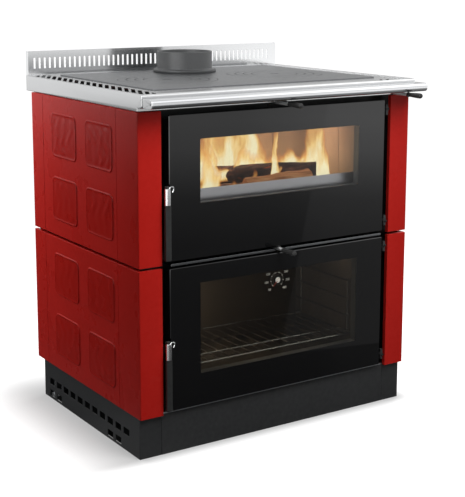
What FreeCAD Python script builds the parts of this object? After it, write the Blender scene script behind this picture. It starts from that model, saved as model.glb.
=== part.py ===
"""Cast iron range cooker: a wood-fired cooker with a fire door above an oven door.

Axes: +X to the right as seen from the front, +Y to the back, +Z up, millimetres.
The origin is the centre of the overall box, on the floor.
Every y given below counts from the front face of the red casing and grows to the back.
"""
import FreeCAD, Part
import os
import Sketcher
from FreeCAD import Placement, Rotation, Vector

SIZES = {
    # casing and plinth
    "case_width": 798,
    "case_depth": 572,
    "plinth_height": 101,
    "lower_panel_height": 354,
    "panel_seam": 6.5,
    "upper_panel_height": 357,
    "panel_thickness": 10,
    "pillar_width": 61,
    "tile_stand_out": 2.5,
    "tile_gap": 50,
    "tile_rear_margin": 120,
    "tile_front_margin": 121,
    "tile_edge_margin": 40,
    "tile_corner_radius": 16,
    "joint_line_width": 1.6,
    "joint_line_depth": 1,
    "rear_joint_margin": 68,
    "front_joint_y": 102,
    "plinth_side_inset": 4,
    "plinth_front_inset": 12,
    "plinth_back_inset": 30,
    "plinth_wall": 2,
    "vent_width": 29,
    "vent_height": 17,
    "vent_pitch": 41.6,
    "vent_rear_margin": 33,
    "vent_upper_z": 48,
    "vent_lower_z": 15,
    "foot_radius": 16,
    "foot_height": 12,
    "sheet": 3,
    # worktop, hob and rail
    "shadow_gap": 2.5,
    "worktop_edge": 39,
    "worktop_front": 21,
    "worktop_overhang": 33,
    "worktop_nose_height": 31,
    "worktop_nose_radius": 6,
    "top_sheet": 1.5,
    "hob_side_margin": 72,
    "hob_front": 54,
    "hob_rear_margin": 24,
    "hob_thickness": 12,
    "hob_proud": 3,
    "hob_gap": 0.5,
    "disc_radius": 125,
    "disc_gap": 0.8,
    "disc_step": 6,
    "disc_groove_width": 2.5,
    "disc_groove_depth": 1.5,
    "disc_groove_pitch": 22,
    "lift_slot_length": 26,
    "lift_slot_width": 8,
    "disc_front_margin": 214,
    "grille_side_margin": 9.5,
    "grille_slot_length": 20,
    "grille_slot_width": 43,
    "grille_slant": 84,
    "grille_pitch": 32.6,
    "grille_margin": 9,
    "flue_rear_margin": 90,
    "flue_bore_radius": 70,
    "flue_wall": 4.5,
    "flue_flange_radius": 83,
    "flue_flange_height": 9,
    "flue_height": 56,
    "splash_depth": 13.5,
    "splash_height": 64,
    "splash_wall": 1.5,
    "splash_slot_width": 4.6,
    "splash_slot_height": 28,
    "splash_slot_pitch": 14.6,
    "splash_slot_margin": 16,
    "splash_slot_rise": 18,
    "rail_stand_off": 4,
    "rail_depth": 43,
    "rail_height": 21,
    "rail_drop": 8,
    "rail_wall": 2.5,
    "rail_nose_radius": 9,
    "rail_rear_radius": 3,
    "rail_screw_radius": 2.5,
    "rail_boss_radius": 7,
    "rail_boss_inset": 60,
    # doors
    "door_side_gap": 20,
    "door_gap": 17,
    "door_top_gap": 10.5,
    "door_bottom_gap": 7,
    "door_proud": 1,
    "glass_thickness": 5,
    "door_depth": 38,
    "door_wall": 2,
    "door_rim": 10,
    "window_side_margin": 83,
    "fire_window_rise": 130.6,
    "fire_window_drop": 59,
    "oven_window_rise": 79,
    "oven_window_drop": 43.4,
    "inner_glass_lap": 14,
    "inner_glass_thickness": 4,
    "glass_slack": 0.5,
    "seal_width": 10,
    "trim_height": 5,
    "trim_side_gap": 24,
    "frame_front": 50,
    "seat_gap": 0.3,
    "hinge_y": 4,
    "hinge_pin_radius": 4,
    "hinge_pin_length": 26,
    "hinge_plate": 4,
    "hinge_eye_radius": 6.5,
    "handle_width": 15,
    "handle_y": -10,
    "handle_axis_y": 14,
    "handle_bar_depth": 8,
    "sleeve_length": 39,
    "sleeve_radius": 7.5,
    "spindle_radius": 4,
    "pin_clearance": 0.05,
    "spindle_reach": 24,
    "neck_width": 8,
    "latch_thickness": 4,
    "latch_nose": 4,
    "latch_lift": 7,
    "latch_play": 0.5,
    "fire_handle_rise": 154.6,
    "oven_handle_rise": 150,
    # inside
    "firebox_side_room": 40,
    "firebox_rise": 16.5,
    "firebox_rear_gap": 7,
    "brick_thickness": 25,
    "smoke_drop_depth": 144,
    "smoke_way_height": 71,
    "ash_room_height": 67,
    "grate_half_width": 100,
    "grate_front": 130,
    "grate_depth": 180,
    "grate_thickness": 14,
    "grate_slot": 9,
    "grate_lap": 8,
    "grate_edge": 20,
    "grate_pitch": 18,
    "baffle_thickness": 20,
    "smoke_throat": 67,
    "ash_drawer_half_width": 150,
    "ash_drawer_depth": 290,
    "ash_drawer_height": 44,
    "ash_drawer_play": 4,
    "guard_rise": 25,
    "guard_height": 55,
    "guard_y": 56,
    "oven_side_room": 27,
    "oven_rise": 49,
    "oven_drop": 23,
    "oven_rear_room": 69,
    "runner_wire_radius": 2.5,
    "runner_levels": 4,
    "runner_pitch": 47,
    "runner_first": 42,
    "runner_end": 25,
    "rack_wire_radius": 2.5,
    "rack_front": 60,
    "rack_rear_gap": 40,
    "rack_brace": 92,
    "rack_bars": 17,
    "dial_radius": 13,
    "dial_drop": 30,
    "dial_thickness": 6,
    "dial_post_radius": 2,
    "needle_length": 20,
    "needle_width": 2,
    "needle_thickness": 1.2,
    # pull rods and damper
    "rod_x": -5,
    "rod_drop": 11,
    "damper_rod_margin": 47,
    "damper_rod_lift": 1,
    "rod_radius": 4,
    "knob_radius": 6.5,
    "knob_length": 50,
    "knob_start": 31,
    "low_air_knob_start": 11,
    "damper_knob_start": 48,
    "damper_rod_tail": 30,
    "air_travel": 35,
    "air_valve_radius": 15,
    "air_valve_thickness": 2,
    "air_hole_radius": 3,
    "air_hole_offset": 9,
    "rod_notch": 30,
    "damper_gap": 12,
    "damper_drop": 19,
    "damper_height": 40,
    "damper_side_gap": 8,
    "damper_thickness": 3,
    "damper_crank": 24,
    "damper_crank_gap": 13,
}

doc = FreeCAD.newDocument("RangeCooker")
sheet = doc.addObject("Spreadsheet::Sheet", "Sizes")
for row, (alias, number) in enumerate(SIZES.items(), start=1):
    sheet.set(f"A{row}", alias)
    sheet.set(f"B{row}", str(number))
    sheet.setAlias(f"B{row}", alias)
doc.recompute()

X, Y, Z = Vector(1, 0, 0), Vector(0, 1, 0), Vector(0, 0, 1)
ALONG = {"x": Rotation(Y, 90), "y": Rotation(X, -90), "z": Rotation()}
SHORTEST = 8  # how long a grille slot that the edge cuts off must still be
SPARE = 1  # how far a cutting tool reaches past the face that it starts from
TINY = 1e-6


class Dim:
    """A size that knows its number and the sheet expression that it comes from."""

    def __init__(self, number, text):
        self.number = number
        self.text = text

    def __add__(self, other):
        other = dim(other)
        return Dim(self.number + other.number, f"({self.text} + {other.text})")

    def __sub__(self, other):
        other = dim(other)
        return Dim(self.number - other.number, f"({self.text} - {other.text})")

    def __mul__(self, other):
        other = dim(other)
        return Dim(self.number * other.number, f"({self.text} * {other.text})")

    def __truediv__(self, other):
        other = dim(other)
        return Dim(self.number / other.number, f"({self.text} / {other.text})")

    def __radd__(self, other):
        return dim(other) + self

    def __rsub__(self, other):
        return dim(other) - self

    def __rmul__(self, other):
        return dim(other) * self

    def __neg__(self):
        return Dim(-self.number, f"(0 - {self.text})")

    def __float__(self):
        return float(self.number)


def dim(value):
    """Turn a plain number into a Dim."""
    return value if isinstance(value, Dim) else Dim(float(value), repr(float(value)))


class Sizes:
    """The sheet's cells, read as attributes: size.case_width and so on."""

    def __getattr__(self, alias):
        return Dim(float(SIZES[alias]), f"Sizes.{alias}")


size = Sizes()

# Heights that follow from the driving sizes, from the floor up.
lower_top = size.plinth_height + size.lower_panel_height
upper_bottom = lower_top + size.panel_seam
case_top = upper_bottom + size.upper_panel_height
floor_top = size.plinth_height + size.sheet
worktop_bottom = case_top + size.shadow_gap
worktop_top = worktop_bottom + size.worktop_edge
worktop_underside = worktop_top - size.top_sheet
nose_bottom = worktop_top - size.worktop_nose_height
hob_top = worktop_top + size.hob_proud
hob_underside = hob_top - size.hob_thickness
seam_z = lower_top + size.panel_seam * 0.75
fire_door_z = (seam_z + size.door_gap / 2, case_top - size.door_top_gap)
oven_door_z = (size.plinth_height + size.door_bottom_gap, seam_z - size.door_gap / 2)
fire_window_z = (fire_door_z[0] + size.fire_window_rise, fire_door_z[1] - size.fire_window_drop)
oven_window_z = (oven_door_z[0] + size.oven_window_rise, oven_door_z[1] - size.oven_window_drop)
fire_handle_z = fire_door_z[0] + size.fire_handle_rise
oven_handle_z = oven_door_z[0] + size.oven_handle_rise
dial_z = oven_window_z[1] - size.dial_drop
firebox_floor = upper_bottom + size.firebox_rise
grate_shelf = firebox_floor + size.ash_room_height
baffle_top = hob_underside - size.smoke_way_height
brick_top = baffle_top - size.baffle_thickness
oven_z = (size.plinth_height + size.oven_rise, lower_top - size.oven_drop)
first_runner_z = oven_z[0] + size.runner_first
top_rod_z = nose_bottom - size.rod_drop
damper_rod_z = case_top + size.damper_rod_lift + size.rod_radius
damper_z = hob_underside - size.damper_drop
rail_z = (worktop_top - size.rail_drop - size.rail_height, worktop_top - size.rail_drop)

# Distances from the middle of the cooker to the side.
half_width = size.case_width / 2
inside_x = half_width - size.panel_thickness
pillar_x = half_width - size.pillar_width
door_half = pillar_x - size.door_side_gap
door_edge = door_half - size.door_rim
window_half = door_half - size.window_side_margin
pivot_x = (pillar_x + door_half) / 2
hob_half = half_width - size.hob_side_margin
disc_x = hob_half / 2
firebox_half = window_half + size.firebox_side_room
shell_inside = firebox_half - size.sheet
brick_inside = shell_inside - size.brick_thickness
oven_half = window_half + size.oven_side_room
oven_inside = oven_half - size.sheet
damper_rod_x = half_width - size.damper_rod_margin

# Depths, counted from the front face to the back.
frame_back = size.frame_front + size.sheet
glass_back = size.glass_thickness - size.door_proud
rear_y = size.case_depth - size.panel_thickness
worktop_back = size.case_depth + size.worktop_overhang
worktop_depth = worktop_back + size.splash_wall
hob_y = (size.hob_front, size.case_depth - size.hob_rear_margin)
disc_y = size.hob_front + size.disc_front_margin
flue_y = hob_y[1] - size.flue_rear_margin
rail_back = size.worktop_front + size.rail_stand_off
rail_y = (rail_back + size.rail_depth, rail_back)
firebox_back = rear_y - size.firebox_rear_gap
rear_brick_front = firebox_back - size.sheet - size.smoke_drop_depth - size.brick_thickness
damper_y = rear_brick_front + size.brick_thickness + size.damper_gap
oven_back = rear_y - size.oven_rear_room
knob_reach = size.damper_knob_start + size.knob_length
front = (knob_reach - worktop_depth) / 2
bore_radius = size.rod_radius + size.pin_clearance


def bind(item, prop, value):
    """Give a property its number from the sheet."""
    item.setExpression(prop, dim(value).text)


def place(item, x, y, z, rotation=None):
    """Put an object at x, at y behind the front face, and at height z."""
    if rotation:
        item.Placement = Placement(Vector(), rotation)
    bind(item, "Placement.Base.x", x)
    bind(item, "Placement.Base.y", front + y)
    bind(item, "Placement.Base.z", z)
    return item


def box(label, x, y, z):
    """A block between two corners, each axis given as (low, high)."""
    item = doc.addObject("Part::Box", label)
    bind(item, "Length", dim(x[1]) - x[0])
    bind(item, "Width", dim(y[1]) - y[0])
    bind(item, "Height", dim(z[1]) - z[0])
    return place(item, x[0], y[0], z[0])


def cylinder(label, radius, length, at, along="z"):
    """A round bar that starts at a point and runs along +x, +y or +z."""
    item = doc.addObject("Part::Cylinder", label)
    bind(item, "Radius", radius)
    bind(item, "Height", length)
    return place(item, *at, rotation=ALONG[along])


def fuse(label, *items):
    """Join touching solids into one."""
    item = doc.addObject("Part::MultiFuse", label)
    item.Shapes = list(items)
    item.Refine = True
    return item


def cut(label, base, *tools):
    """Take one or more tools out of a base solid."""
    item = doc.addObject("Part::Cut", label)
    item.Base = base
    item.Tool = tools[0] if len(tools) == 1 else fuse(label + "_tools", *tools)
    item.Refine = True
    return item


def group(label, *items):
    """Hold separate solids of one kind in one node."""
    item = doc.addObject("Part::Compound", label)
    item.Links = list(items)
    return item


def grown(span, by):
    """A (low, high) span with both ends moved out, or in when by is negative."""
    return (dim(span[0]) - by, dim(span[1]) + by)


def tray(label, x, y, z, wall, open_side):
    """A box of sheet with one open side, 'front' or 'top'."""
    inner_x, inner_y, inner_z = (grown(span, -dim(wall)) for span in (x, y, z))
    if open_side == "front":
        inner_y = (dim(y[0]) - SPARE, inner_y[1])
    else:
        inner_z = (inner_z[0], dim(z[1]) + SPARE)
    return cut(label, box(label + "_block", x, y, z), box(label + "_hollow", inner_x, inner_y, inner_z))


class Body:
    """A PartDesign body whose sketches and features are bound to the sheet."""

    def __init__(self, label, at=(0, 0, 0), rotation=None):
        self.body = doc.addObject("PartDesign::Body", label)
        place(self.body, *at, rotation=rotation)
        self.count = 0

    def name(self, kind):
        """A fresh name for the body's next feature."""
        self.count += 1
        return f"{self.body.Name}_{kind.lower()}_{self.count}"

    def sketch(self, role, offset=0):
        """Start a sketch on an origin plane, moved along its normal by an offset."""
        sketch = self.body.newObject("Sketcher::SketchObject", self.name("sketch"))
        plane = next(item for item in self.body.Origin.OriginFeatures if item.Role == role)
        sketch.AttachmentSupport = [(plane, "")]
        sketch.MapMode = "FlatFace"
        bind(sketch, "AttachmentOffset.Base.z", offset)
        return sketch

    def feature(self, kind, sketch, **settings):
        """Add a feature made from a sketch; Dims are bound, the rest is set."""
        item = self.body.newObject("PartDesign::" + kind, self.name(kind))
        item.Profile = sketch
        for name, value in settings.items():
            if isinstance(value, Dim):
                bind(item, name, value)
            else:
                setattr(item, name, value)
        sketch.Visibility = False
        return item

    def turned(self, kind, sketch):
        """Turn a sketch about its vertical axis: a Revolution or a Groove."""
        return self.feature(kind, sketch, ReferenceAxis=(sketch, ["V_Axis"]), Angle=360.0)

    def fillet(self, radius, chosen):
        """Round the edges of the tip for which chosen(edge) is true."""
        doc.recompute()
        tip = self.body.Tip
        names = [f"Edge{n}" for n, edge in enumerate(tip.Shape.Edges, start=1) if chosen(edge)]
        item = self.body.newObject("PartDesign::Fillet", self.name("fillet"))
        item.Base = (tip, names)
        bind(item, "Radius", radius)
        return item

    def pattern(self, original, sketch, axis, pitch, room, reverse=False):
        """Repeat a feature along a sketch axis as often as the pitch fits the room."""
        pitches = int(float(room) / float(pitch))
        item = self.body.newObject("PartDesign::LinearPattern", self.name("row"))
        item.Originals = [original]
        item.Direction = (sketch, [axis])
        bind(item, "Length", pitch * pitches)
        item.Occurrences = pitches + 1
        item.Reversed = reverse
        self.body.Tip = item
        return pitches


def hold_point(sketch, geometry, point, kind, value):
    """Hold one point of a sketch at a distance from the sketch's origin."""
    value = dim(value)
    index = sketch.addConstraint(Sketcher.Constraint(kind, -1, 1, geometry, point, value.number))
    sketch.setExpression(f"Constraints[{index}]", value.text)


def outline(sketch, points):
    """Draw a closed outline of straight lines, each corner bound to the sheet."""
    first = sketch.GeometryCount
    flat = [Vector(float(x), float(y), 0) for x, y in points]
    for n, start in enumerate(flat):
        sketch.addGeometry(Part.LineSegment(start, flat[(n + 1) % len(flat)]))
    for n, (x, y) in enumerate(points):
        following = first + (n + 1) % len(points)
        sketch.addConstraint(Sketcher.Constraint("Coincident", first + n, 2, following, 1))
        hold_point(sketch, first + n, 1, "DistanceX", x)
        hold_point(sketch, first + n, 1, "DistanceY", y)


def above(points, limit):
    """Cut an outline off below a level, so that what lies above it stays."""
    kept = []
    for (x, y), (next_x, next_y) in zip(points, points[1:] + points[:1]):
        if float(y) >= float(limit):
            kept.append((x, y))
        if (float(y) >= float(limit)) != (float(next_y) >= float(limit)):
            kept.append((x + (next_x - x) * (limit - y) / (next_y - y), limit))
    return kept


def below(points, limit):
    """Cut an outline off above a level, so that what lies below it stays."""
    upturned = above([(x, -y) for x, y in points], -limit)
    return [(x, -y) for x, y in upturned]


def rectangle(sketch, x, y):
    """Draw a rectangle between (low, high) in each direction."""
    outline(sketch, [(x[0], y[0]), (x[1], y[0]), (x[1], y[1]), (x[0], y[1])])


def circle(sketch, x, y, radius):
    """Draw a circle with its centre and radius bound to the sheet."""
    radius = dim(radius)
    index = sketch.addGeometry(Part.Circle(Vector(float(x), float(y), 0), Z, radius.number))
    hold_point(sketch, index, 3, "DistanceX", x)
    hold_point(sketch, index, 3, "DistanceY", y)
    hold = sketch.addConstraint(Sketcher.Constraint("Radius", index, radius.number))
    sketch.setExpression(f"Constraints[{hold}]", radius.text)


def straight(edge, direction):
    """Whether an edge is straight and runs along a direction."""
    if edge.Curve.TypeId != "Part::GeomLine":
        return False
    return abs(abs(edge.Curve.Direction.dot(direction)) - 1) < TINY


def near(value, *targets):
    """Whether a number lies at one of some sizes."""
    return any(abs(value - float(target)) < TINY for target in targets)


def upright_plate(label, x, z, y, hole=None):
    """A plate that faces the front, between y[0] and y[1], with an optional hole (x, z)."""
    plate = Body(label, (0, y[0], 0))
    sketch = plate.sketch("XZ_Plane")
    rectangle(sketch, x, z)
    if hole:
        rectangle(sketch, *hole)
    plate.feature("Pad", sketch, Length=dim(y[1]) - y[0], Reversed=True)
    return plate


# ---------------------------------------------------------------- plinth and feet

plinth_x = half_width - size.plinth_side_inset
plinth_y = (size.plinth_front_inset, size.case_depth - size.plinth_back_inset)
plinth_z = (0, size.plinth_height)


def plinth_side(label, x):
    """A side sheet with a full upper row of air slots and two pairs in the lower row."""
    depth = plinth_y[1] - plinth_y[0] - size.plinth_wall
    wall = Body(label, (x, plinth_y[0] + size.plinth_wall, 0))
    face = wall.sketch("YZ_Plane")
    rectangle(face, (0, depth), plinth_z)
    wall.feature("Pad", face, Length=size.plinth_wall)
    rear = depth - size.vent_rear_margin
    upper = wall.sketch("YZ_Plane")
    low = size.vent_upper_z - size.vent_height / 2
    rectangle(upper, (rear - size.vent_width, rear), (low, low + size.vent_height))
    slot = wall.feature("Pocket", upper, Type="ThroughAll", Midplane=True)
    room = rear - size.vent_width - size.vent_rear_margin
    pitches = wall.pattern(slot, upper, "H_Axis", size.vent_pitch, room, reverse=True)
    lower = wall.sketch("YZ_Plane")
    low = size.vent_lower_z - size.vent_height / 2
    for step in (0, 1, pitches - 2, pitches - 1):
        end = rear - size.vent_pitch * step
        rectangle(lower, (end - size.vent_width, end), (low, low + size.vent_height))
    wall.feature("Pocket", lower, Type="ThroughAll", Midplane=True)


def plinth():
    """Four folded sheets around four screw feet."""
    inner_x = plinth_x - size.plinth_wall
    face_y = (plinth_y[0], plinth_y[0] + size.plinth_wall)
    seams = []
    for side in (-1, 1):
        middle = side * pillar_x
        seams.append(box(f"plinth_seam_{side + 1}", (middle, middle + size.joint_line_width),
                         (face_y[0] - SPARE, face_y[0] + size.joint_line_depth), grown(plinth_z, SPARE)))
    cut("plinth_front", box("plinth_face", (-plinth_x, plinth_x), face_y, plinth_z), *seams)
    box("plinth_back", (-inner_x, inner_x), (plinth_y[1] - size.plinth_wall, plinth_y[1]), plinth_z)
    plinth_side("plinth_left", -plinth_x)
    plinth_side("plinth_right", inner_x)
    feet = []
    inset = size.foot_radius + size.plinth_wall + SPARE
    for x in (inset - inner_x, inner_x - inset):
        for y in (face_y[1] + inset, plinth_y[1] - inset):
            number = len(feet) + 1
            pad = cylinder(f"foot_pad_{number}", size.foot_radius, size.foot_height, (x, y, 0))
            stem = cylinder(f"foot_stem_{number}", size.foot_radius / 3,
                            size.plinth_height - size.foot_height, (x, y, size.foot_height))
            feet.append(fuse(f"foot_{number}", pad, stem))
    group("plinth_feet", *feet)


# ---------------------------------------------------------------- casing

def side_panel(label, side, z):
    """An enamelled casting: the side wall with four raised tiles and the front pillar."""
    panel = Body(label, (0, 0, z[0]))
    high = dim(z[1]) - z[0]
    section = panel.sketch("XY_Plane")
    corners = [(half_width, 0), (half_width, size.case_depth), (inside_x, size.case_depth),
               (inside_x, size.panel_thickness), (pillar_x, size.panel_thickness), (pillar_x, 0)]
    outline(section, [(side * x, y) for x, y in corners])
    panel.feature("Pad", section, Length=high)
    lines = panel.sketch("YZ_Plane", side * half_width)
    for y in (size.front_joint_y, (size.case_depth - size.rear_joint_margin)):
        rectangle(lines, (y, y + size.joint_line_width), grown((0, high), SPARE))
    panel.feature("Pocket", lines, Length=size.joint_line_depth, Reversed=side < 0)
    tiles = panel.sketch("YZ_Plane", side * half_width)
    tile_depth = (size.case_depth - size.tile_rear_margin - size.tile_front_margin - size.tile_gap) / 2
    tile_height = (high - 2 * size.tile_edge_margin - size.tile_gap) / 2
    for low_y in (size.tile_front_margin, size.case_depth - size.tile_rear_margin - tile_depth):
        for low_z in (size.tile_edge_margin, high - size.tile_edge_margin - tile_height):
            rectangle(tiles, (low_y, low_y + tile_depth), (low_z, low_z + tile_height))
    panel.feature("Pad", tiles, Length=size.tile_stand_out, Reversed=side < 0)

    def tile_corner(edge):
        ends = [abs(vertex.Point.x) for vertex in edge.Vertexes]
        return straight(edge, X) and near(max(ends), half_width + size.tile_stand_out)
    panel.fillet(size.tile_corner_radius, tile_corner)


def casing():
    """The enamelled panels, the rear sheet and the floor sheet."""
    for side, name in ((-1, "left"), (1, "right")):
        side_panel(f"{name}_lower_panel", side, (size.plinth_height, lower_top))
        side_panel(f"{name}_upper_panel", side, (upper_bottom, case_top))
    wide = (-inside_x, inside_x)
    box("base_pan", wide, (size.plinth_front_inset, rear_y - size.sheet), (size.plinth_height, floor_top))
    box("rear_panel", wide, (rear_y - size.sheet, rear_y), (size.plinth_height, worktop_underside))


def front_frame():
    """The steel sheet behind the doors, open for fire, ash drawer, oven and pull rods."""
    opening = (-window_half - size.door_rim, window_half + size.door_rim)
    frame = Body("front_frame", (0, size.frame_front, 0))
    sketch = frame.sketch("XZ_Plane")
    rectangle(sketch, (-inside_x, inside_x), (floor_top, worktop_underside))
    rectangle(sketch, opening, (grate_shelf + size.grate_thickness, brick_top))
    drawer = size.ash_drawer_half_width + size.ash_drawer_play
    drawer_z = firebox_floor + size.sheet
    rectangle(sketch, (-drawer, drawer),
              (drawer_z, drawer_z + size.ash_drawer_height + size.ash_drawer_play))
    rectangle(sketch, opening, grown(oven_z, -size.sheet))
    circle(sketch, damper_rod_x, damper_rod_z, bore_radius)
    for z in (top_rod_z, seam_z):
        circle(sketch, size.rod_x, z, bore_radius)
        for air_z in grown((z, z), size.air_hole_offset):
            circle(sketch, size.rod_x, air_z, size.air_hole_radius)
    frame.feature("Pad", sketch, Length=size.sheet, Reversed=True)
    trim_z = (seam_z - size.trim_height / 2, seam_z + size.trim_height / 2)
    notch = size.rod_notch / 2
    trim_end = pillar_x - size.trim_side_gap
    left = box("mid_trim_left", (-trim_end, size.rod_x - notch), (0, size.frame_front), trim_z)
    right = box("mid_trim_right", (size.rod_x + notch, trim_end), (0, size.frame_front), trim_z)
    group("mid_trim", left, right)


# ---------------------------------------------------------------- fire side

def firebox_shell():
    """Welded sheet, open to the front and the top, with a shelf that holds the grate."""
    reach = firebox_half
    inner = (-shell_inside, shell_inside)
    depth = (frame_back, firebox_back)
    shelf_z = (grate_shelf - size.sheet, grate_shelf)
    block = box("firebox_block", (-reach, reach), depth, (firebox_floor, hob_underside))
    inner_y = (frame_back - SPARE, firebox_back - size.sheet)
    ash_room = box("ash_room", inner, inner_y, (firebox_floor + size.sheet, shelf_z[0]))
    fire_room = box("fire_room", inner, inner_y, (shelf_z[1], hob_underside + SPARE))
    grate_hole = box("grate_hole", (-size.grate_half_width, size.grate_half_width),
                     (size.grate_front, size.grate_front + size.grate_depth), grown(shelf_z, SPARE))
    spindle_hole = cylinder("spindle_hole", size.spindle_radius + size.pin_clearance,
                            2 * reach + 2 * SPARE, (-reach - SPARE, damper_y, damper_z), "x")
    cut("firebox_shell", block, ash_room, fire_room, grate_hole, spindle_hole)


def fire_grate():
    """The cast grate, lapped over the hole in its shelf, with a row of slots."""
    half = size.grate_half_width + size.grate_lap
    depth = size.grate_depth + 2 * size.grate_lap
    edge = size.grate_edge
    grate = Body("fire_grate", (0, size.grate_front - size.grate_lap, grate_shelf))
    plan = grate.sketch("XY_Plane")
    rectangle(plan, (-half, half), (0, depth))
    grate.feature("Pad", plan, Length=size.grate_thickness)
    slots = grate.sketch("XY_Plane")
    rectangle(slots, (edge - half, edge - half + size.grate_slot), (edge, depth - edge))
    slot = grate.feature("Pocket", slots, Type="ThroughAll", Midplane=True)
    grate.pattern(slot, slots, "H_Axis", size.grate_pitch, 2 * half - 2 * edge - size.grate_slot)


def firebox():
    """The shell, its bricks, grate, baffle, log guard and ash drawer."""
    firebox_shell()
    fire_grate()
    brick_z = (grate_shelf, brick_top)
    side_y = (frame_back, rear_brick_front)
    guard_z = grate_shelf + size.guard_rise
    full = (-shell_inside, shell_inside)
    box("left_firebrick", (-shell_inside, -brick_inside), side_y, brick_z)
    box("right_firebrick", (brick_inside, shell_inside), side_y, brick_z)
    box("rear_firebrick", full, (side_y[1], side_y[1] + size.brick_thickness), brick_z)
    box("baffle", full, (frame_back + size.smoke_throat, side_y[1]), (brick_top, baffle_top))
    box("log_guard", (-brick_inside, brick_inside), (size.guard_y, size.guard_y + size.sheet),
        (guard_z, guard_z + size.guard_height))
    drawer_z = firebox_floor + size.sheet
    tray("ash_drawer", (-size.ash_drawer_half_width, size.ash_drawer_half_width),
         (frame_back, frame_back + size.ash_drawer_depth),
         (drawer_z, drawer_z + size.ash_drawer_height), size.top_sheet, "top")


# ---------------------------------------------------------------- oven side

def rack_runner(name, side):
    """A welded ladder of wires that hangs on an oven wall and carries the shelf."""
    wire = size.runner_wire_radius
    long_y = grown((frame_back, oven_back), -size.runner_end)
    post_x = side * (oven_inside - wire)
    bar_x = side * (oven_inside - 3 * wire)
    weld_x = post_x if side < 0 else bar_x
    levels = SIZES["runner_levels"]
    post_height = size.runner_pitch * (levels - 1) + 4 * wire
    wires = []
    for end, y in enumerate(grown(long_y, -size.runner_end)):
        foot = (post_x, y, first_runner_z - 2 * wire)
        wires.append(cylinder(f"{name}_post_{end}", wire, post_height, foot))
        for level in range(levels):
            z = first_runner_z + size.runner_pitch * level
            weld = f"{name}_weld_{end}_{level}"
            wires.append(cylinder(weld, wire * 0.9, 2 * wire, (weld_x, y, z), "x"))
    for level in range(levels):
        z = first_runner_z + size.runner_pitch * level
        start = (bar_x, long_y[0], z)
        wires.append(cylinder(f"{name}_bar_{level}", wire, long_y[1] - long_y[0], start, "y"))
    fuse(f"{name}_rack_runner", *wires)


def oven_rack():
    """The wire shelf, on the lowest runners."""
    thick = size.rack_wire_radius
    z = first_runner_z + size.runner_wire_radius + thick
    reach = oven_inside - 3 * size.runner_wire_radius
    depth = oven_back - size.sheet - size.rack_rear_gap - size.rack_front
    wires = []
    for number, y in enumerate((thick, size.rack_brace, depth - thick)):
        start = (-reach, size.rack_front + y, z)
        wires.append(cylinder(f"rack_cross_{number}", thick, 2 * reach, start, "x"))
    bars = SIZES["rack_bars"]
    for number in range(bars):
        x = (reach - thick) * (2.0 * number / (bars - 1) - 1)
        start = (x, size.rack_front + thick, z)
        wires.append(cylinder(f"rack_bar_{number}", thick * 0.8, depth - 2 * thick, start, "y"))
    fuse("oven_rack", *wires)


def oven():
    """The enamelled oven box with its runners and shelf."""
    tray("oven_box", (-oven_half, oven_half), (frame_back, oven_back), oven_z, size.sheet, "front")
    rack_runner("left", -1)
    rack_runner("right", 1)
    oven_rack()


# ---------------------------------------------------------------- doors

door_edge = door_half - size.door_rim
brackets = []


def door_frame(name, z, window_x, window_z, glass_hole, handle_z):
    """A steel tray behind the outer glass: back wall, rim and the tunnel round the window."""
    depth = size.door_depth - glass_back
    frame = Body(f"{name}_frame", (0, glass_back, 0))
    face = frame.sketch("XZ_Plane")
    frame_x, frame_z = (-door_edge, door_edge), grown(z, -size.door_rim)
    rectangle(face, frame_x, frame_z)
    rectangle(face, window_x, window_z)
    frame.feature("Pad", face, Length=depth, Reversed=True)
    hollow = frame.sketch("XZ_Plane")
    rectangle(hollow, grown(frame_x, -size.door_wall), grown(frame_z, -size.door_wall))
    rectangle(hollow, grown(glass_hole[0], size.door_wall), grown(glass_hole[1], size.door_wall))
    frame.feature("Pocket", hollow, Length=depth - size.door_wall)
    rebate = frame.sketch("XZ_Plane", -(depth - size.inner_glass_thickness))
    rectangle(rebate, *glass_hole)
    frame.feature("Pocket", rebate, Type="ThroughAll")
    spindle = frame.sketch("YZ_Plane", -door_edge - SPARE)
    circle(spindle, size.handle_axis_y - glass_back, handle_z, size.spindle_radius + size.pin_clearance)
    frame.feature("Pocket", spindle, Length=size.door_wall + 2 * SPARE, Reversed=True)


def door(name, z, window_z, handle_z):
    """One glazed door with its seal, hinge pins and latching handle."""
    window_x = (-window_half, window_half)
    wide = (-door_half, door_half)
    lap = size.inner_glass_lap
    glass_hole = (grown(window_x, lap), grown(window_z, lap))
    inner_y = (size.door_depth - size.inner_glass_thickness, size.door_depth)
    upright_plate(f"{name}_glass", wide, z, (-size.door_proud, glass_back))
    door_frame(name, z, window_x, window_z, glass_hole, handle_z)
    slack = -size.glass_slack
    pane = [grown(reach, slack) for reach in glass_hole]
    upright_plate(f"{name}_inner_glass", *pane, inner_y)
    seal_hole = tuple(grown(reach, size.seal_width / 2) for reach in glass_hole)
    seal_edge = [grown(reach, size.seal_width) for reach in seal_hole]
    upright_plate(f"{name}_seal", *seal_edge,
                  (size.door_depth, size.frame_front - size.seat_gap), seal_hole)
    hinge(name, z)
    handle(name, z, handle_z)


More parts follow.
